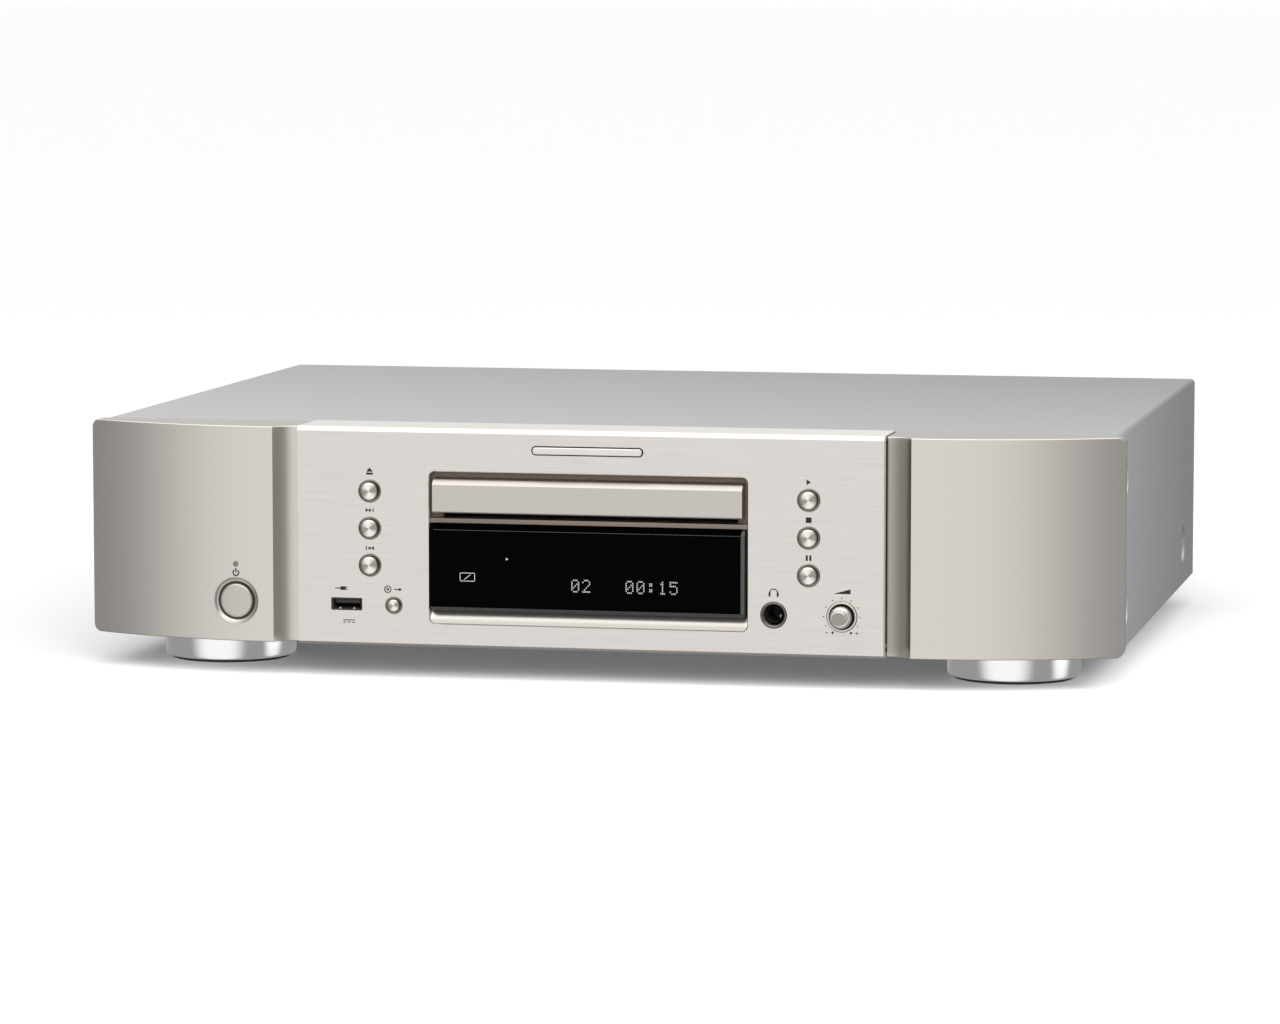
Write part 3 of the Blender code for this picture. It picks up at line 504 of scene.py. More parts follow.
# Surfaces with one even grain: slot, colour, roughness and share of metal, then the grain's cell in
# millimetres, how far it swings the colour, and its height in millimetres.
GRAINED = {
    "champagne_aluminium": ("champagne_aluminium", (0.655, 0.618, 0.575), 0.34, 1.0, 0.25, 0.012, 0.002),
    # A lit copy of the plate's metal for its top faces: painted light, partly real through its rougher
    # finish.
    "lit_top_aluminium": ("champagne_aluminium", (0.68, 0.655, 0.625), 0.5, 0.4, 0.25, 0.012, 0.002),
    "drawer_aluminium": ("champagne_aluminium", (0.555, 0.522, 0.485), 0.32, 1.0, 0.25, 0.012, 0.002),
    "shaded_aluminium": ("champagne_aluminium", (0.25, 0.21, 0.18), 0.36, 1.0, 0.3, 0.03, 0.002),
    "port_steel": ("zinc_steel", (0.09, 0.075, 0.062), 0.4, 1.0, 0.4, 0.05, 0.003),
    "matt_silver": ("key_metal", (0.36, 0.33, 0.305), 0.5, 1.0, 0.3, 0.03, 0.003),
    "knob_silver": ("key_metal", (0.74, 0.72, 0.69), 0.24, 1.0, 0.3, 0.02, 0.003),
    "jack_metal": ("jack_metal", (0.20, 0.18, 0.16), 0.14, 1.0, 0.4, 0.03, 0.002),
    "gold_contact": ("jack_metal", (0.83, 0.60, 0.26), 0.25, 1.0, 0.4, 0.03, 0.002),
    "window_acrylic": ("window_acrylic", (0.0007, 0.0007, 0.0007), 0.06, 0.0, 2.0, 0.1, 0.0005),
    # A lighter, shinier copy of the acrylic for the window's right and lower chamfers: partly real
    # reflection, partly painted highlight.
    "acrylic_painted_sheen": ("window_acrylic", (0.02, 0.02, 0.02), 0.12, 0.0, 2.0, 0.1, 0.0005),
    # The thin strip along the window's fold: a painted highlight.
    "acrylic_fold_highlight": ("window_acrylic", (0.05, 0.05, 0.052), 0.3, 0.0, 2.0, 0.1, 0.0005),
    "display_glass": ("display_glass", (0.05, 0.06, 0.06), 0.12, 0.0, 1.0, 0.1, 0.001),
    "lens": ("lens", (0.20, 0.24, 0.42), 0.05, 0.0, 1.0, 0.05, 0.0005),
    "red_light": ("red_light", (0.13, 0.11, 0.095), 0.35, 0.0, 0.3, 0.08, 0.002),
    "rubber": ("rubber", (0.02, 0.02, 0.02), 0.85, 0.0, 0.5, 0.2, 0.03),
    "dark_moulding": ("dark_moulding", (0.016, 0.014, 0.012), 0.55, 0.0, 0.4, 0.15, 0.02),
    # A lighter brown copy of the dark moulding for the bezel: painted light in the gaps round the drawer and
    # window.
    "lit_gap_moulding": ("dark_moulding", (0.17, 0.125, 0.092), 0.5, 0.0, 0.4, 0.1, 0.01),
    "red_moulding": ("dark_moulding", (0.55, 0.03, 0.02), 0.4, 0.0, 0.5, 0.05, 0.01),
    "white_moulding": ("white_moulding", (0.78, 0.77, 0.72), 0.45, 0.0, 0.5, 0.03, 0.01),
    "printed_ink": ("dark_moulding", (0.012, 0.013, 0.015), 0.6, 0.0, 0.15, 0.15, 0.002),
    "pale_ink": ("white_moulding", (0.42, 0.42, 0.42), 0.6, 0.0, 0.15, 0.08, 0.002),
}
USUAL_SPECULAR = 0.5
SPECULAR = {"window_acrylic": 0.006, "acrylic_painted_sheen": 1.0, "printed_ink": 0.2}


def make_materials():
    """Every material by its name. The one that has a slot's name dresses the slot's plain solids."""
    made = {"cover_paint": make_cover_paint(), "foot_metal": make_foot_metal(), "key_metal": make_key_metal(),
            "zinc_steel": make_steel(), "circuit_board": make_board(), "winding": make_winding(),
            "brushed_aluminium": make_brushed_aluminium(), "display_dots": make_glow()}
    for name, look in GRAINED.items():
        made[name] = make_grained(name, *look, Specular_IOR_Level=SPECULAR.get(name, USUAL_SPECULAR))
    return made


MATERIALS = make_materials()


def dress_cad_nodes():
    """Give every solid that stays visible its procedural material."""
    for part in frame["record"]["subparts"]:
        material = MATERIALS[part["material_slot"]]
        for slot in frame["nodes"][part["node"]].material_slots:
            slot.link = "OBJECT"
            slot.material = material


# ---------------- front plate

KEY_NODES = ("eject_button", "next_button", "previous_button", "play_button", "stop_button", "pause_button")
KEY_HOLE = 4.55
INPUT_HOLE = 3.4
RECESS_HALF = 67.2
RECESS_SPAN = (23.5, 87.0)
RECESS_CORNER = 2.3
PLATE_THICK = 4.5


def recess_outline(grow):
    span = (RECESS_SPAN[0] - grow, RECESS_SPAN[1] + grow)
    return round_corner_box(around(0.0, RECESS_HALF + grow), span, RECESS_CORNER + grow)


def recess_cutter():
    """The recess with a fine chamfer round its mouth."""
    sections = []
    for depth, grow in ((-1.0, 1.35), (0.35, 0.0), (PLATE_THICK + 2.0, 0.0)):
        sections.append([(x, depth, z) for x, z in recess_outline(grow)])
    return loft(sections)


def make_front_plate():
    low, high = limits("front_plate")
    bottom, top, back = low.z, high.z, high.y
    top_edge, bottom_edge, lip = 1.8, 1.2, 2.3
    profile = [(0.0, bottom + bottom_edge), (bottom_edge, bottom), (22.0, bottom), (22.0, bottom + lip),
               (PLATE_THICK, bottom + lip), (PLATE_THICK, top - lip), (back, top - lip), (back, top),
               (top_edge, top), (0.0, top - top_edge)]
    plate = add_piece("front_face_plate", prism(profile, "X", (low.x, high.x)), "brushed_aluminium",
                      replaces="front_plate")
    soften(plate, 0.15)
    through = PLATE_THICK + 2.0
    cutters = [recess_cutter()]
    cutters += [countersunk(KEY_HOLE, across(name), through) for name in KEY_NODES]
    cutters.append(countersunk(INPUT_HOLE, across("input_button"), through))
    cutters.append(countersunk(5.5, across("phones_jack"), through, 0.1))
    cutters.append(countersunk(6.4, across("knob_ring"), through, 0.1))
    cutters.append(rounded_slot(across("usb_port"), (6.7, 2.65), 0.5, (-1.0, through)))
    carve(plate, cutters)
    rim = (RECESS_SPAN[1] + 5.0) * MM
    # The plate's top faces get a lighter, rougher, less metallic copy of its metal: painted light for the
    # brightness they catch from above, partly real through the rougher finish.
    face_material(plate, "lit_top_aluminium", lambda face: face.normal.z > 0.95 and face.center.z > rim)
    flatten_shading(plate)


def make_shaded_key_sleeves():
    """Dark sleeves in the plate's holes, round the keys: painted shade in the holes, in the shaded copy of
    the plate's metal.
    """
    sleeves = [tube((3.85, KEY_HOLE - 0.03), "Y", across(name), (1.1, 5.0)) for name in KEY_NODES]
    sleeves.append(tube((2.75, INPUT_HOLE - 0.03), "Y", across("input_button"), (1.0, 5.0)))
    add_piece("shaded_key_sleeves", gathered(sleeves), "shaded_aluminium")


# ---------------- end panels

def panel_face(x):
    """Depth of an end panel's curved face at a distance from the middle."""
    run = max(abs(x) - PANEL_INNER, 0.0)
    return PANEL_FRONT + PANEL_RADIUS - math.sqrt(PANEL_RADIUS ** 2 - run ** 2)


def panel_stations(inner, outer):
    """x and depth along a panel's face, from the bottom of its cove to its outer edge."""
    slope = math.radians(COVE_END)
    stations = []
    for across_share, depth_share in arc((0.0, 0.0), (1.0, 1.0), 90, COVE_END, 14):
        stations.append((inner + (PANEL_INNER - inner) * across_share / math.cos(slope),
                         PANEL_FRONT + COVE_DEPTH * (depth_share - math.sin(slope)) / (1 - math.sin(slope))))
    edge = PANEL_INNER + 0.25
    stations.append((edge, PANEL_FRONT - 0.02))
    steps = 30
    flat_end = outer - PANEL_CORNER
    for step in range(1, steps + 1):
        x = edge + (flat_end - edge) * step / steps
        stations.append((x, panel_face(x)))
    for angle in range(10, 90, 8):
        x = flat_end + PANEL_CORNER * math.sin(math.radians(angle))
        stations.append((x, panel_face(x)))
    stations.append((outer, panel_face(outer) + 0.25))
    return stations


def panel_section(x, depth, back, bottom, top, outer):
    """The loop of a panel at one x, with soft front edges and lower at the outer corners."""
    run = max(x - (outer - PANEL_CORNER), 0.0)
    drop = PANEL_CORNER - math.sqrt(max(PANEL_CORNER ** 2 - run ** 2, 0.0))
    low, high = bottom + drop, top - drop
    centre = depth + PANEL_EDGE
    front = arc((centre, high - PANEL_EDGE), (PANEL_EDGE, PANEL_EDGE), 90, 180, 4)
    front += arc((centre, low + PANEL_EDGE), (PANEL_EDGE, PANEL_EDGE), 180, 270, 4)
    return [(x, y, z) for y, z in [(back, low), (back, high)] + front]


def hollow_of(stations, inner, outer, back, bottom, top):
    """What is taken out of a panel from behind, leaving its skin."""
    skin = 3.0
    plan = [(x, depth + skin) for x, depth in stations if inner + skin < x < outer - skin]
    plan = [(inner + skin, back - 9.0)] + plan + [(outer - skin, plan[-1][1]), (outer - skin, back + 1.0)]
    plan += [(inner - 1.0, back + 1.0), (inner - 1.0, back - 9.0)]
    return plan, (bottom + 2.5, top - 2.5)


def make_end_panel(name, node, side):
    low, high = limits(node)
    inner = min(abs(low.x), abs(high.x))
    outer = max(abs(low.x), abs(high.x))
    bottom, top, back = low.z, high.z, high.y
    stations = panel_stations(inner, outer)
    sections = [panel_section(x, depth, back, bottom, top, outer) for x, depth in stations]
    sections = [[(side * x, y, z) for x, y, z in section] for section in sections]
    panel = add_piece(name, loft(sections), "champagne_aluminium", replaces=node)
    plan, span = hollow_of(stations, inner, outer, back, bottom, top)
    carve(panel, [prism([(side * x, y) for x, y in plan], "Z", span)])
    return panel


def make_end_panels():
    right = make_end_panel("right_cheek", "right_end_panel", 1.0)
    left = make_end_panel("left_cheek", "left_end_panel", -1.0)
    reach = (-5.0, 24.0)
    carve(left, [rod(POWER_HOLE, "Y", across("power_button_ring"), reach, 96),
                 rod(1.15, "Y", across("standby_light"), reach, 32)])
    flatten_shading(left)
    flatten_shading(right)


# ---------------- cover, base and feet

SIDE_DIMPLES = ((58.0, 84.6), (60.0, 30.4), (287.0, 32.2))
DIMPLE_RADIUS = 8.5


def make_cover():
    """The folded sheet cover with its side holes, and how far it reaches from the middle."""
    low, high = limits("top_cover")
    half, skin, bend = high.x, 1.2, 2.0
    outer = [(half, low.z)] + arc((half - bend, high.z - bend), (bend, bend), 0, 90, 10)
    inner = [(half - skin, low.z)] + arc((half - bend, high.z - bend), (bend - skin, bend - skin), 0, 90, 10)
    outline = outer + [(-x, z) for x, z in outer[::-1]] + [(-x, z) for x, z in inner] + inner[::-1]
    sheet = prism(outline, "Y", (low.y, high.y))
    cover = add_piece("sheet_cover", sheet, "cover_paint", replaces="top_cover")
    cutters = []
    for side in (-1, 1):
        span = tuple(sorted((side * (half - 3.0), side * (half + 3.0))))
        cutters += [rod(DIMPLE_RADIUS, "X", place, span, 64) for place in SIDE_DIMPLES]
    carve(cover, cutters)
    flatten_shading(cover)
    return half


def dimple(half, side, place):
    """The round pressed dish for one side screw, from the cover's face inwards."""
    profile = [(0.0, 1.30), (7.8, 1.30), (8.05, 1.2), (8.35, 0.2), (DIMPLE_RADIUS, 0.0),
               (DIMPLE_RADIUS, 0.3), (8.2, 1.42), (0.0, 1.42)]
    return turned([(radius, side * (half - depth)) for radius, depth in profile], "X", place, 48)


def screw_head(axis, centre, face, outwards, radius=2.9, height=0.9):
    """A domed screw head, as (radius, level) points turned about its axis."""
    profile = [(0.0, 0.0), (0.0, height), (radius * 0.45, height * 0.95), (radius * 0.8, height * 0.7),
               (radius, height * 0.25), (radius, 0.0)]
    return turned([(r, face + outwards * level) for r, level in profile], axis, centre, 32)


def cross_slot(axis, centre, face, outwards, radius=2.9, height=0.9):
    """Cutters for a screw's cross recess."""
    span = tuple(sorted((face + outwards * height * 0.35, face + outwards * (height + 1.0))))
    long, thin = radius * 0.6, radius * 0.13
    return [prism(bar(*centre, *halves), axis, span) for halves in ((long, thin), (thin, long))]


def make_screws(name, axis, places, face, outwards, radius=2.9):
    """A row of equal cross-head screws on one face."""
    heads = gathered([screw_head(axis, place, face, outwards, radius) for place in places])
    screws = add_piece(name, heads, "zinc_steel")
    slots = [slot for place in places for slot in cross_slot(axis, place, face, outwards, radius)]
    carve(screws, [gathered(slots[0::2]), gathered(slots[1::2])])


def make_side_dimples(half):
    for side, side_name in ((-1, "left"), (1, "right")):
        dishes = gathered([dimple(half, side, place) for place in SIDE_DIMPLES])
        add_piece(f"cover_dimples_{side_name}", dishes, "cover_paint")
        make_screws(f"side_screws_{side_name}", "X", SIDE_DIMPLES, side * (half - 1.3), side)


def make_feet():
    for row in ("front", "rear"):
        for side in ("left", "right"):
            foot, pad = f"foot_{row}_{side}", f"foot_pad_{row}_{side}"
            low, high = limits(foot)
            radius, centre = (high.x - low.x) / 2, middle(foot)
            profile = [(0.0, low.z), (radius - 2.2, low.z), (radius - 1.2, low.z + 0.15),
                       (radius - 0.4, low.z + 0.6), (radius, low.z + 1.5), (radius, high.z - 0.4),
                       (radius - 0.4, high.z), (0.0, high.z)]
            place = (centre.x, centre.y)
            add_piece(f"turned_{foot}", turned(profile, "Z", place, 128), "foot_metal", replaces=foot)
            low, high = limits(pad)
            reach = (high.x - low.x) / 2
            ring = [(0.0, 0.15), (reach - 2.0, 0.15), (reach - 1.6, 0.0), (reach - 0.3, 0.0), (reach, 0.2),
                    (reach, high.z), (0.0, high.z)]
            add_piece(f"soft_{pad}", turned(ring, "Z", place, 96), "rubber", replaces=pad)


# ---------------- recess, window and drawer

def make_recess():
    """The bezel with its two openings, the sloping sill below and the ledge between."""
    low, high = limits("recess_frame")
    window_low, window_high = limits("display_window")
    tray_high = limits("disc_tray")[1]
    front, back = PLATE_THICK + 0.6, high.y
    ledge = (window_high.z + 0.3, 67.6)
    whole = block((low.x, high.x), (front, back), (low.z, high.z))
    # The bezel shows in the gaps round the drawer and window as a lighter brown copy of the dark moulding:
    # painted light in those gaps.
    bezel = add_piece("recess_bezel", whole, "lit_gap_moulding", replaces="recess_frame")
    through = (front - 2.0, back + 2.0)
    carve(bezel, [block(around(0.0, window_high.x + 0.3), through, (window_low.z - 0.3, ledge[0])),
                  block(around(0.0, tray_high.x + 0.5), through, (ledge[1], tray_high.z + 0.5))])
    make_sill(front - 0.1, window_low.z - 0.5)
    strip = block(around(0.0, RECESS_HALF - 0.06), (0.6, front - 0.1), ledge)
    soften(add_piece("recess_ledge", strip, "shaded_aluminium"), 0.12)


def make_sill(back, top):
    """The recess's lower edge, which slopes up to the window."""
    below = RECESS_SPAN[0] - 1.0
    profile = [(0.25, below), (0.25, 23.4), (0.6, 25.2), (1.3, 27.2), (2.6, top - 0.1), (back, top),
               (back, below)]
    whole = prism(profile, "X", around(0.0, RECESS_HALF + 1.0))
    sill = add_piece("recess_sill", whole, "champagne_aluminium")
    carve(sill, [prism(recess_outline(-0.06), "Y", (-1.0, back + 2.1))], "INTERSECT")


def window_section(x, front, window_low, window_high):
    """The window's cross-section, with its lower chamfer and its sloping top."""
    bottom, top, back = window_low.z, window_high.z, 8.0
    points = [(front, bottom + 1.5), (front + 1.4, bottom), (back, bottom), (back, top), (front + 2.8, top),
              (front, top - WINDOW_SLOPE)]
    return [(x, y, z) for y, z in points]


def make_window():
    """The acrylic window, with a painted highlight line where its top slopes back, and a lighter, shinier
    copy of its acrylic on its right and lower chamfers, partly real reflection and partly painted highlight.
    """
    window_low, window_high = limits("display_window")
    half, front, chamfer = window_high.x, window_low.y, 1.3
    flat = half - chamfer
    stations = ((-half, front + chamfer), (-flat, front), (flat, front), (half, front + chamfer))
    sections = [window_section(x, depth, window_low, window_high) for x, depth in stations]
    window = add_piece("window_pane", loft(sections), "window_acrylic", replaces="display_window")
    soften(window, 0.12, 3, 20.0)
    # Only the right and lower chamfers get the lighter, shinier acrylic: a painted highlight on one side,
    # partly real reflection.
    face_material(window, "acrylic_painted_sheen", lambda face: face.normal.z < -0.3 or face.normal.x > 0.3)
    flatten_shading(window)
    # A thin lighter strip along the fold where the top slopes back: a painted highlight.
    fold_height = around(window_high.z - WINDOW_SLOPE, 0.07)
    add_piece("window_fold_highlight", block(around(0.0, flat - 0.4), (front - 0.02, front + 0.2), fold_height),
              "acrylic_fold_highlight")
    return front


def make_drawer():
    low, high = limits("drawer_front")
    front, back, top = low.y, high.y, high.z
    shoulder = [(front + 1.0, 82.9), (front + 1.9, 83.7), (front + 3.0, 84.3), (front + 4.2, top)]
    profile = [(front, 70.7), (front + 0.5, low.z), (back, low.z), (back, top)] + shoulder[::-1]
    profile += [(front + 0.35, 82.25), (front, 81.7)]
    drawer = add_piece("drawer_panel", prism(profile, "X", (low.x, high.x)), "drawer_aluminium", "tray",
                       replaces="drawer_front")
    soften(drawer, 0.18, 3, 25.0)
    flatten_shading(drawer)


# ---------------- display

DIGIT_DOTS = {
    "0": (".###.", "#...#", "#..##", "#.#.#", "##..#", "#...#", ".###."),
    "1": ("..#..", ".##..", "..#..", "..#..", "..#..", "..#..", ".###."),
    "2": (".###.", "#...#", "....#", "...#.", "..#..", ".#...", "#####"),
    "5": ("#####", "#....", "####.", "....#", "....#", "#...#", ".###."),
    ":": (".....", ".##..", ".##..", ".....", ".##..", ".##..", "....."),
}
DOT = (0.46, 0.52)
DOT_STEP = (0.70, 0.79)
DIGIT_STEP = 4.64
DIGITS_TOP = 43.6


def digit_dots(digit, left, span):
    tiles = []
    for row, line in enumerate(DIGIT_DOTS[digit]):
        for column, mark in enumerate(line):
            if mark == "#":
                x = left + column * DOT_STEP[0]
                z = DIGITS_TOP - row * DOT_STEP[1]
                tiles.append(block((x, x + DOT[0]), span, (z - DOT[1], z)))
    return tiles


def make_display_marks(front):
    """The lit digits and pointer, and the printed symbol beside them."""
    span = (front - PRINT_HEIGHT / 2, front + 0.1)
    tiles = []
    for text, start in (("02", -6.1), ("00:15", 16.8)):
        for place, digit in enumerate(text):
            tiles += digit_dots(digit, start + place * DIGIT_STEP, span)
    tiles.append(prism([(-33.9, 50.9), (-32.8, 51.4), (-33.9, 52.0)], "Y", span))
    add_piece("display_digits", gathered(tiles), "display_dots")
    x, z = -50.3, 43.6
    wide, tall, line = 3.2, 1.8, 0.12
    slash = [(x - 1.5, z - 1.0), (x - 1.1, z - 1.0), (x + 1.5, z + 1.0), (x + 1.1, z + 1.0)]
    bars = [prism(slash, "Y", span)]
    for side in (-1, 1):
        bars.append(block(around(x, wide), span, around(z + side * (tall - line), line)))
        bars.append(block(around(x + side * (wide - line), line), span, around(z, tall)))
    add_piece("display_symbol", gathered(bars), "pale_ink")


# ---------------- controls

POWER_HOLE = 10.05
POWER_RADIUS = 7.2
POWER_GAP = 0.85


def make_key(node, radius, proud):
    """A key with a shallow dome, a soft rim and a narrower stem."""
    back = limits(node)[1].y
    rim = 0.45
    dome = [(radius * share, -proud + 0.22 * share ** 2) for share in (0.0, 0.25, 0.5, 0.7, 0.82)]
    rim_points = arc((radius - rim, -proud + 0.25 + rim), (rim, rim), -90, 0, 6)
    profile = dome + rim_points + [(radius, 5.6), (radius - 1.0, 5.6), (radius - 1.0, back), (0.0, back)]
    add_piece(f"{node}_cap", turned(profile, "Y", across(node), 96), "key_metal", node, replaces=node)


def make_keys():
    for node in KEY_NODES:
        make_key(node, 3.6, 1.8)
    make_key("input_button", 2.5, 1.0)


def make_level_knob():
    """The waisted knob with its flat tip, the trim ring in the plate and a dark ring between them, painted
    shade in the gap.
    """
    centre = across("level_knob")
    front, back = (corner.y for corner in limits("level_knob"))
    profile = [(0.0, front), (2.55, front)] + arc((2.55, front + 0.45), (0.45, 0.45), -90, 0, 5)
    profile += [(3.05, front + 2.6)] + arc((3.35, front + 4.6), (1.15, 1.7), -110, 0, 10)
    profile += [(4.5, 5.9), (3.0, 5.9), (3.0, back), (0.0, back)]
    knob = add_piece("knob_turning", turned(profile, "Y", centre, 96), "knob_silver", "level_knob",
                     replaces="level_knob")
    tip = FACE + (front + 0.1) * MM
    face_material(knob, "matt_silver", lambda face: face.normal.y < -0.95 and face.center.y < tip)
    ring = [(5.3, 5.4), (5.3, 0.0)] + arc((5.55, -0.15), (0.25, 0.35), 180, 270, 4)
    ring += arc((6.0, -0.1), (0.3, 0.4), -90, 0, 5) + [(6.3, 5.4)]
    add_piece("knob_trim", turned(ring, "Y", centre, 96), "champagne_aluminium", replaces="knob_ring")
    # A dark ring in the gap between knob and trim ring: painted shade.
    add_piece("knob_gap_shade", tube((4.62, 5.28), "Y", centre, (2.4, 5.2)), "dark_moulding")


def lean(shape, centre_x):
    """Shear a shape turned about Y so that its front follows the left panel's slope."""
    for point in shape.verts:
        point.co.y += panel_face(point.co.x) - panel_face(centre_x)
    return shape


def make_power_dish(place, surface, inner):
    """The dished ring round the power button, which slopes back to its outer edge."""
    outer = POWER_HOLE - 0.05
    slope_start, slope_end = inner + 0.15, outer - 0.25
    profile = [(inner, surface + 4.5), (inner, surface + 1.35), (slope_start, surface + 1.2)]
    for share in (0.2, 0.4, 0.6, 0.8, 1.0):
        profile.append((slope_start + (slope_end - slope_start) * share, surface + 1.2 - 1.1 * share ** 1.6))
    profile += [(outer, surface + 0.06), (outer, surface + 4.5)]
    dish = lean(turned(profile, "Y", place, 128), place[0])
    add_piece("power_dish", dish, "champagne_aluminium", replaces="power_button_ring")


def make_power_cap(place, surface):
    """The power button's cap, and its stem through the panel."""
    front, back, rim = surface - 0.3, surface + 5.0, 0.9
    face = [(0.0, front), (2.5, front), (4.5, front + 0.03), (POWER_RADIUS - rim, front + 0.12)]
    face += arc((POWER_RADIUS - rim, front + 0.12 + rim), (rim, rim), -80, 0, 8)
    face += [(POWER_RADIUS, back), (0.0, back)]
    cap = lean(turned(face, "Y", place, 128), place[0])
    add_piece("power_cap", cap, "drawer_aluminium", "power_button", replaces="power_button")
    stem = rod(4.0, "Y", place, (back, limits("power_button")[1].y), 48)
    add_piece("power_stem", stem, "champagne_aluminium", "power_button")


def make_power_button():
    place = across("power_button")
    surface = panel_face(place[0])
    inner = POWER_RADIUS + POWER_GAP
    make_power_dish(place, surface, inner)
    make_power_cap(place, surface)
    # A dark sleeve in the gap between the cap and the dish: painted shade in the gap.
    sleeve = tube((POWER_RADIUS + 0.06, inner - 0.02), "Y", place, (surface + 1.3, surface + 6.0), 96)
    add_piece("power_gap_shade", sleeve, "dark_moulding")


def make_standby_light():
    place = across("standby_light")
    front = panel_face(place[0])
    back = front + 6.0
    light = [(0.0, front + 0.05), (0.6, front + 0.12), (1.0, front + 0.35), (1.0, back), (0.0, back)]
    add_piece("standby_lens", turned(light, "Y", place, 48), "red_light", replaces="standby_light")


def make_phones_socket():
    centre = across("phones_jack")
    x, z = centre
    bore = 3.18
    rim = arc((5.0, 0.0), (0.4, 0.5), 0, -90, 6)
    bush = [(5.4, 4.8)] + rim + [(4.75, -0.45), (4.4, -0.1), (3.7, 0.9), (bore, 1.6), (bore, 4.8)]
    add_piece("phones_bush", turned(bush, "Y", centre, 96), "jack_metal", replaces="phones_jack")
    body = add_piece("phones_body", block(around(x, 7.0), (5.0, 17.7), around(z, 7.0)), "dark_moulding")
    carve(body, [rod(bore, "Y", centre, (4.0, 16.0), 64)])
    skin = bore - 0.08
    lining = [(skin, 1.3), (skin, 15.9), (0.0, 15.9), (0.0, 16.1), (skin + 0.4, 16.1), (skin + 0.4, 5.1),
              (skin + 0.05, 5.1), (skin + 0.05, 1.3)]
    add_piece("phones_lining", turned(lining, "Y", centre, 64), "dark_moulding")
    add_piece("phones_contact", block((x + 1.9, x + 2.9), (4.0, 9.0), around(z - 0.8, 0.7)), "jack_metal")


def make_usb_socket():
    """The steel shell, its dark lining, the tongue with its contacts and the two spring clips."""
    centre = across("usb_port")
    x, z = centre
    shell = add_piece("usb_shell", rounded_slot(centre, (6.55, 2.5), 0.5, (0.5, 17.7)), "port_steel",
                      replaces="usb_port")
    carve(shell, [rounded_slot(centre, (6.2, 2.15), 0.35, (-1.0, 14.0))])
    lining = add_piece("usb_lining", block(around(x, 6.15), (1.2, 13.9), around(z, 2.1)), "dark_moulding")
    carve(lining, [block(around(x, 5.85), (0.0, 13.5), around(z, 1.85))])
    tongue = add_piece("usb_tongue", block(around(x, 5.4), (2.0, 13.6), (z + 0.2, z + 1.7)), "dark_moulding")
    soften(tongue, 0.15)
    fingers = [block(around(x + place, 0.55), (3.6, 10.0), (z + 0.05, z + 0.25))
               for place in (-3.5, -1.2, 1.2, 3.5)]
    add_piece("usb_contacts", gathered(fingers), "gold_contact")
    clips = [prism([(clip - 0.6, z - 2.12), (clip + 0.6, z - 2.12), (clip, z - 1.3)], "Y", (0.7, 3.0))
             for clip in (x - 3.0, x + 3.0)]
    add_piece("usb_clips", gathered(clips), "zinc_steel")


# ---------------- printed symbols and badge

def band(centre, radius, width, start, end, steps=24):
    """A curved stroke."""
    outer, inner = radius + width / 2, radius - width / 2
    return arc(centre, (outer, outer), start, end, steps) + arc(centre, (inner, inner), end, start, steps)


def stroke(first, second, width):
    """A straight stroke between two points."""
    run = Vector(second) - Vector(first)
    side = Vector((-run.y, run.x)).normalized() * width / 2
    return [tuple(Vector(first) + side), tuple(Vector(first) - side), tuple(Vector(second) - side),
            tuple(Vector(second) + side)]


def triangle(x, z, half, direction):
    """A triangle that points along x in the given direction, or up when the direction is zero."""
    if direction == 0:
        return [(x - half, z), (x + half, z), (x, z + half * 1.2)]
    return [(x, z - half), (x + direction * half * 1.5, z), (x, z + half)]


def transport_symbols():
    """The marks above the six big keys."""
    left, right = across("eject_button")[0], across("play_button")[0]
    outlines = [triangle(left, 86.4, 1.45, 0), bar(left, 85.6, 1.45, 0.42)]
    for z, way in ((70.3, 1), (54.4, -1)):
        outlines += [triangle(left - way * 1.75, z, 0.85, way), triangle(left - way * 0.35, z, 0.85, way),
                     bar(left + way * 1.5, z, 0.22, 0.75)]
    outlines += [triangle(right - 0.95, 85.7, 1.2, 1), bar(right, 70.1, 1.2, 1.15)]
    outlines += [bar(right + side * 0.75, 54.5, 0.45, 1.15) for side in (-1, 1)]
    return outlines


def socket_symbols():
    """A plug and a direct-current mark by the USB socket, a disc and arrow, and headphones."""
    line, level = 0.42, 37.3
    x = across("usb_port")[0]
    outlines = [bar(x - 1.6, level, 1.1, 0.75), stroke((x - 2.7, level), (x - 5.0, level), line)]
    outlines += [bar(x - 0.15, level + side * 0.45, 0.5, line / 2) for side in (-1, 1)]
    outlines.append(bar(x + 1.0, 24.0, 2.5, 0.19))
    outlines += [bar(x + place, 23.1, 0.6, 0.19) for place in (-0.9, 1.0, 2.9)]
    x = across("input_button")[0]
    outlines += [band((x - 2.6, level), 1.35, line, 0, 356), band((x - 2.6, level), 0.4, line, 0, 356, 12),
                 stroke((x + 0.2, level), (x + 2.4, level), line), triangle(x + 2.3, level, 0.8, 1)]
    x = across("phones_jack")[0]
    outlines.append(band((x, 39.6), 1.75, line, 0, 180))
    outlines += [bar(x + side * 1.7, 39.1, 0.42, 0.85) for side in (-1, 1)]
    return outlines


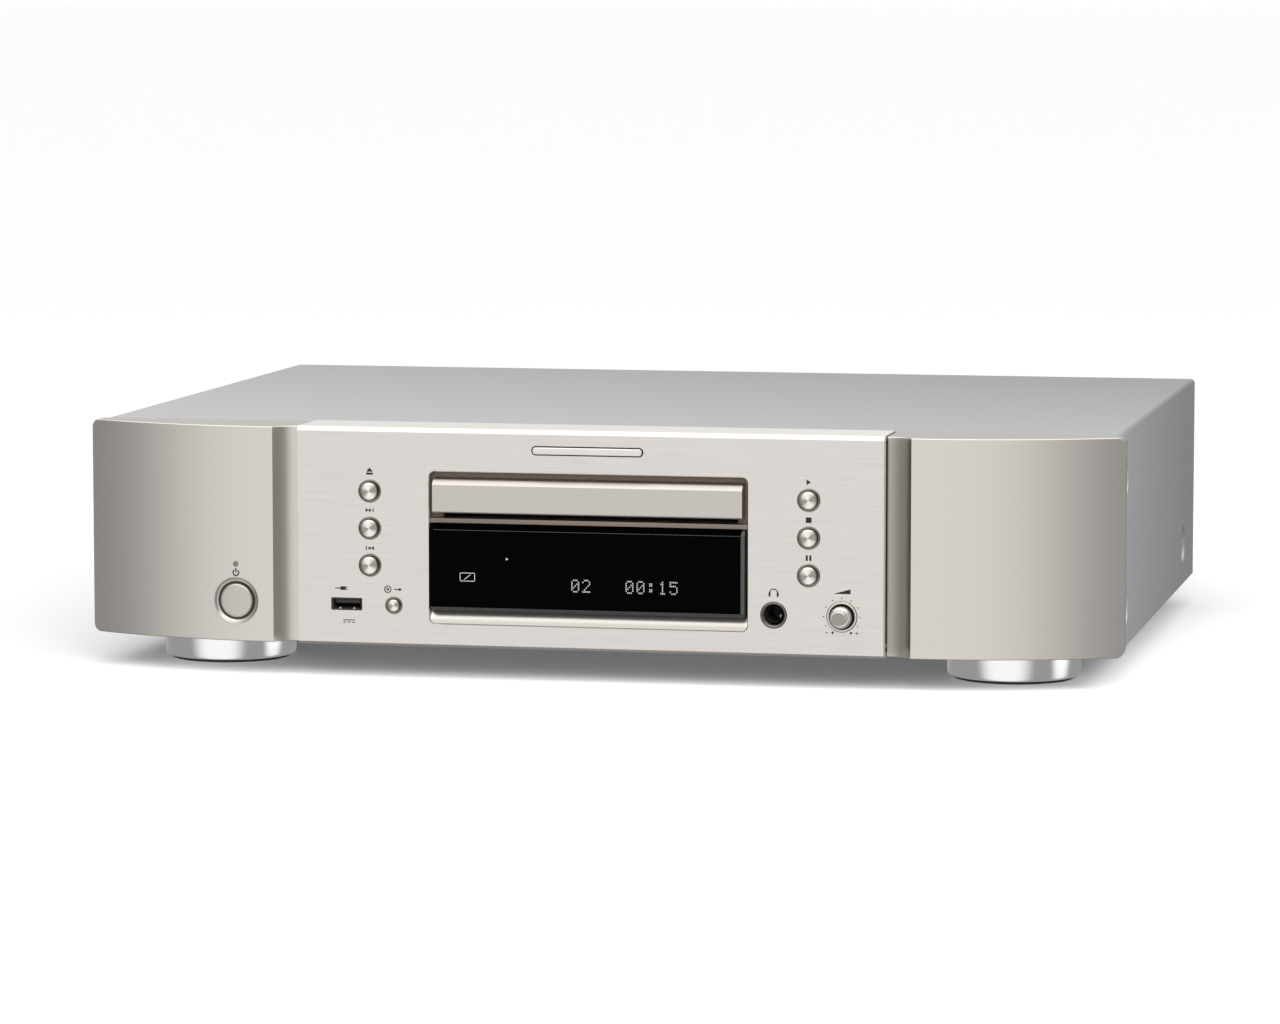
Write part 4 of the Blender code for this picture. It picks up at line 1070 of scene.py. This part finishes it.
def level_scale():
    """The knob's dots, its end marks, and the wedge above it."""
    x, z = across("level_knob")
    dots, reach, sweep = 11, 7.65, 150.0
    outlines = []
    for dot in range(dots):
        angle = math.radians(90.0 + sweep - 2 * sweep * dot / (dots - 1))
        size = 0.5 if dot in (0, dots - 1) else 0.26
        place = (x + reach * math.cos(angle), z + reach * math.sin(angle))
        outlines.append(arc(place, (size, size), 0, 345, 23))
    end_z, end_x, long, thin = z - 6.7, 6.3, 0.65, 0.13
    outlines += [bar(x - end_x, end_z, long, thin), bar(x + end_x, end_z, long, thin),
                 bar(x + end_x, end_z, thin, long), [(x - 3.6, 40.0), (x + 3.6, 40.0), (x + 3.6, 42.0)]]
    return outlines


def make_symbols():
    span = (-PRINT_HEIGHT, 0.3)
    outlines = transport_symbols() + socket_symbols() + level_scale()
    add_piece("printed_symbols", gathered([prism(outline, "Y", span) for outline in outlines]), "printed_ink")
    x, z = across("power_button")[0], 42.7
    surface = panel_face(x)
    power = [band((x, z - 0.15), 1.25, 0.55, 125, 415), bar(x, z + 0.8, 0.28, 0.95)]
    mark = gathered([prism(outline, "Y", (surface - PRINT_HEIGHT, surface + 0.3)) for outline in power])
    add_piece("power_symbol", lean(mark, x), "printed_ink")


def badge_layer(steps):
    """A bar with round ends, from (depth, growth) steps."""
    half, bottom, top, corner = 23.2, 95.0, 98.0, 1.4
    sections = []
    for depth, grow in steps:
        outline = round_corner_box(around(0.0, half + grow), (bottom - grow, top + grow), corner + grow, 8)
        sections.append([(x, depth, z) for x, z in outline])
    return loft(sections)


def make_badge():
    """A plain bar of polished metal on a dark backing."""
    add_piece("badge_backing", badge_layer(((0.3, 0.45), (-0.2, 0.45), (-0.35, 0.3))), "printed_ink")
    domed = ((-0.1, 0.0), (-0.55, 0.0), (-0.75, -0.12), (-0.88, -0.45), (-0.93, -0.9))
    add_piece("plain_badge", badge_layer(domed), "knob_silver")


# ---------------- rear and underside

def make_rear():
    """Screws and socket rings on the rear panel."""
    low, high = limits("rear_panel")
    face, half = high.y, high.x
    rows = [(x, high.z - 6.0) for x in (-half + 8.0, -half / 2, 0.0, half / 2, half - 8.0)]
    rows += [(x, low.z + 6.0) for x in (-half + 8.0, -half / 3, half / 3, half - 8.0)]
    make_screws("rear_screws", "Y", rows, face, 1.0)
    ring = [(4.3, face + 0.9), (6.2, face + 0.9), (6.6, face + 1.3), (6.6, face + 1.9), (6.0, face + 2.4),
            (4.3, face + 2.4)]
    for name, node, lift, material in (("line_ring_upper", "line_outputs", 9.0, "white_moulding"),
                                       ("line_ring_lower", "line_outputs", -9.0, "red_moulding"),
                                       ("digital_ring", "digital_outputs", 9.0, "dark_moulding")):
        x, z = across(node)
        add_piece(name, turned(ring, "Y", (x, z + lift), 64), material)


def make_underside():
    places = [(side * 24.8, y) for side in (-1, 1) for y in (90.0, 170.0, 250.0)]
    places += [(side * 205.0, y) for side in (-1, 1) for y in (110.0, 170.0, 230.0)]
    make_screws("base_screws", "Z", places, limits("chassis_base")[0].z, -1.0, radius=2.6)


def make_tray():
    """The disc tray with smooth pockets and a fine lip."""
    low, high = limits("disc_tray")
    front, back, top = limits("drawer_front")[1].y + 0.3, high.y, high.z
    spindle = middle("turntable")
    centre = (spindle.x, spindle.y)
    slot, disc, small = 23.0, 60.5, 40.5
    plan = [(low.x, back), (low.x, front), (high.x, front), (high.x, back), (slot, back)]
    plan += arc(centre, (slot, slot), 360, 180, 48) + [(-slot, back)]
    whole = prism(plan, "Z", (TRAY_BOTTOM, top))
    tray = add_piece("tray_moulding", whole, "dark_moulding", "tray", replaces="disc_tray")
    outer_pocket = [(0.0, 77.0), (disc - 0.8, 77.0), (disc, 77.8), (disc, top - 0.4), (disc + 1.4, top + 1.0),
                    (0.0, top + 1.0)]
    inner_pocket = [(0.0, 76.0), (small - 0.6, 76.0), (small, 76.6), (small + 1.0, 78.0), (0.0, 78.0)]
    carve(tray, [turned(pocket, "Z", centre, 128) for pocket in (outer_pocket, inner_pocket)])


def make_tray_rack():
    """The rack below the tray, in step with the loading gear's teeth."""
    pitch, count = 1.5 * math.pi, 32
    back, root, tip = -54.0, -51.65, -48.8
    start = middle("loading_gear").y - 2.5 * pitch
    span = (limits("disc_tray")[0].z, TRAY_BOTTOM + 0.2)
    teeth = []
    for y in [start + tooth * pitch for tooth in range(count)]:
        outline = [(root - 0.1, y - 1.54), (tip, y - 0.5), (tip, y + 0.5), (root - 0.1, y + 1.54)]
        teeth.append(prism(outline, "Z", span))
    teeth.append(block((back, root), (start - pitch / 2, start + (count - 0.5) * pitch), span))
    add_piece("tray_rack", gathered(teeth), "dark_moulding", "tray")


# ---------------- stage, light and camera

def make_floor():
    shape = bmesh.new()
    half = 30000.0
    shape.faces.new([shape.verts.new((*corner, 0.0)) for corner in bar(0.0, 0.0, half, half)])
    floor = add_object("studio_floor", shape)
    material = bpy.data.materials.new("pale_floor")
    material.use_nodes = True
    nodes = material.node_tree.nodes
    nodes.remove(nodes["Principled BSDF"])
    matt = add_node(material, "ShaderNodeBsdfDiffuse", Color=(0.91, 0.91, 0.91, 1.0))
    link(material, matt.outputs["BSDF"], nodes["Material Output"].inputs["Surface"])
    floor.data.materials.append(material)
    floor.visible_glossy = False


# Soft lights round the player: direction, height against width, angles where each is full and where it
# ends, and strength. The first set is what the metal mirrors, the second what lights matt surfaces.
MIRRORED_BASE = 0.40
MIRRORED_LIGHTS = (
    ((-8.0, -4.0), 2.2, 16.0, 55.0, 0.87),
    ((-15.0, 82.0), 1.0, 30.0, 65.0, 1.7),
    ((98.0, 2.0), 2.0, 9.0, 26.0, 1.0),
    ((-150.0, 42.0), 1.0, 25.0, 60.0, 0.43),
)
DOME_BASE = 0.50
DOME_LIGHTS = (
    ((5.0, 32.0), 1.0, 10.0, 85.0, 2.1),
)


def soft_lights(world, lights, base):
    """The brightness of a set of soft lights in the direction of a ray."""
    direction = add_node(world, "ShaderNodeTexCoord").outputs["Generated"]
    total = add_node(world, "ShaderNodeValue").outputs["Value"]
    total.default_value = base
    for place, tallness, full, end, strength in lights:
        squashed = vector_math(world, "MULTIPLY", direction, (1.0, 1.0, 1.0 / tallness))
        aim = vector_math(world, "DOT_PRODUCT", vector_math(world, "NORMALIZE", squashed), heading(*place))
        edges = [math.cos(math.radians(angle)) for angle in (end, full)]
        add = add_node(world, "ShaderNodeMath")
        link(world, spread(world, aim, 0.0, strength, *edges, "SMOOTHSTEP"), add.inputs[0])
        link(world, total, add.inputs[1])
        total = add.outputs["Value"]
    return total


def choose(world, ray_kind, others, chosen):
    """One shader for rays of a kind, and another for the others."""
    mix = add_node(world, "ShaderNodeMixShader")
    link(world, ray_kind, mix.inputs["Fac"])
    link(world, others.outputs[0], mix.inputs[1])
    link(world, chosen.outputs[0], mix.inputs[2])
    return mix


def make_world():
    """Soft lights that metal mirrors, others that light matt surfaces, and a white backdrop."""
    world = bpy.data.worlds.new("studio")
    bpy.context.scene.world = world
    world.use_nodes = True
    world.node_tree.nodes.clear()
    mirrored = add_node(world, "ShaderNodeBackground")
    dome = add_node(world, "ShaderNodeBackground")
    link(world, soft_lights(world, MIRRORED_LIGHTS, MIRRORED_BASE), mirrored.inputs["Strength"])
    link(world, soft_lights(world, DOME_LIGHTS, DOME_BASE), dome.inputs["Strength"])
    backdrop = add_node(world, "ShaderNodeBackground", Color=(1.0, 1.0, 1.0, 1.0))
    rays = add_node(world, "ShaderNodeLightPath")
    lighting = choose(world, rays.outputs["Is Glossy Ray"], dome, mirrored)
    seen = choose(world, rays.outputs["Is Camera Ray"], lighting, backdrop)
    link(world, seen.outputs["Shader"], add_node(world, "ShaderNodeOutputWorld").inputs["Surface"])


def add_softbox(name, place, aim, size, power):
    """A rectangular lamp that lights surfaces but isn't mirrored in them."""
    data = bpy.data.lights.new(name, "AREA")
    data.shape = "RECTANGLE"
    data.size, data.size_y = size
    data.energy = power
    light = bpy.data.objects.new(name, data)
    bpy.context.scene.collection.objects.link(light)
    light.location = place
    light.rotation_euler = (Vector(aim) - Vector(place)).to_track_quat("-Z", "Y").to_euler()
    light.visible_glossy = False
    light.visible_camera = False


def make_lights():
    add_softbox("front_softbox", (0.45, -2.4, 1.1), (0.0, 0.0, 0.05), (1.6, 1.2), 24.0)
    add_softbox("near_side_softbox", (0.5, -0.3, 0.25), (0.216, -0.1, 0.06), (0.2, 0.2), 1.3)


def make_camera():
    view = -heading(CAMERA_TURN, CAMERA_DROP)
    target = Vector((CAMERA_TARGET[0] * MM, FACE + CAMERA_TARGET[1] * MM, CAMERA_TARGET[2] * MM))
    data = bpy.data.cameras.new("camera")
    data.lens = CAMERA_LENS
    data.sensor_width = 36.0
    data.clip_end = 200.0
    camera = bpy.data.objects.new("camera", data)
    bpy.context.scene.collection.objects.link(camera)
    camera.location = target - view * CAMERA_DISTANCE * MM
    camera.rotation_euler = view.to_track_quat("-Z", "Y").to_euler()
    bpy.context.scene.camera = camera
    bpy.context.scene.view_settings.view_transform = "Standard"


# ---------------- the whole player

make_camera()
dress_cad_nodes()
make_front_plate()
make_shaded_key_sleeves()
make_end_panels()
make_side_dimples(make_cover())
make_feet()
make_recess()
make_display_marks(make_window())
make_drawer()
make_keys()
make_level_knob()
make_power_button()
make_standby_light()
make_phones_socket()
make_usb_socket()
make_symbols()
make_badge()
make_rear()
make_underside()
make_tray()
make_tray_rack()
make_floor()
make_world()
make_lights()
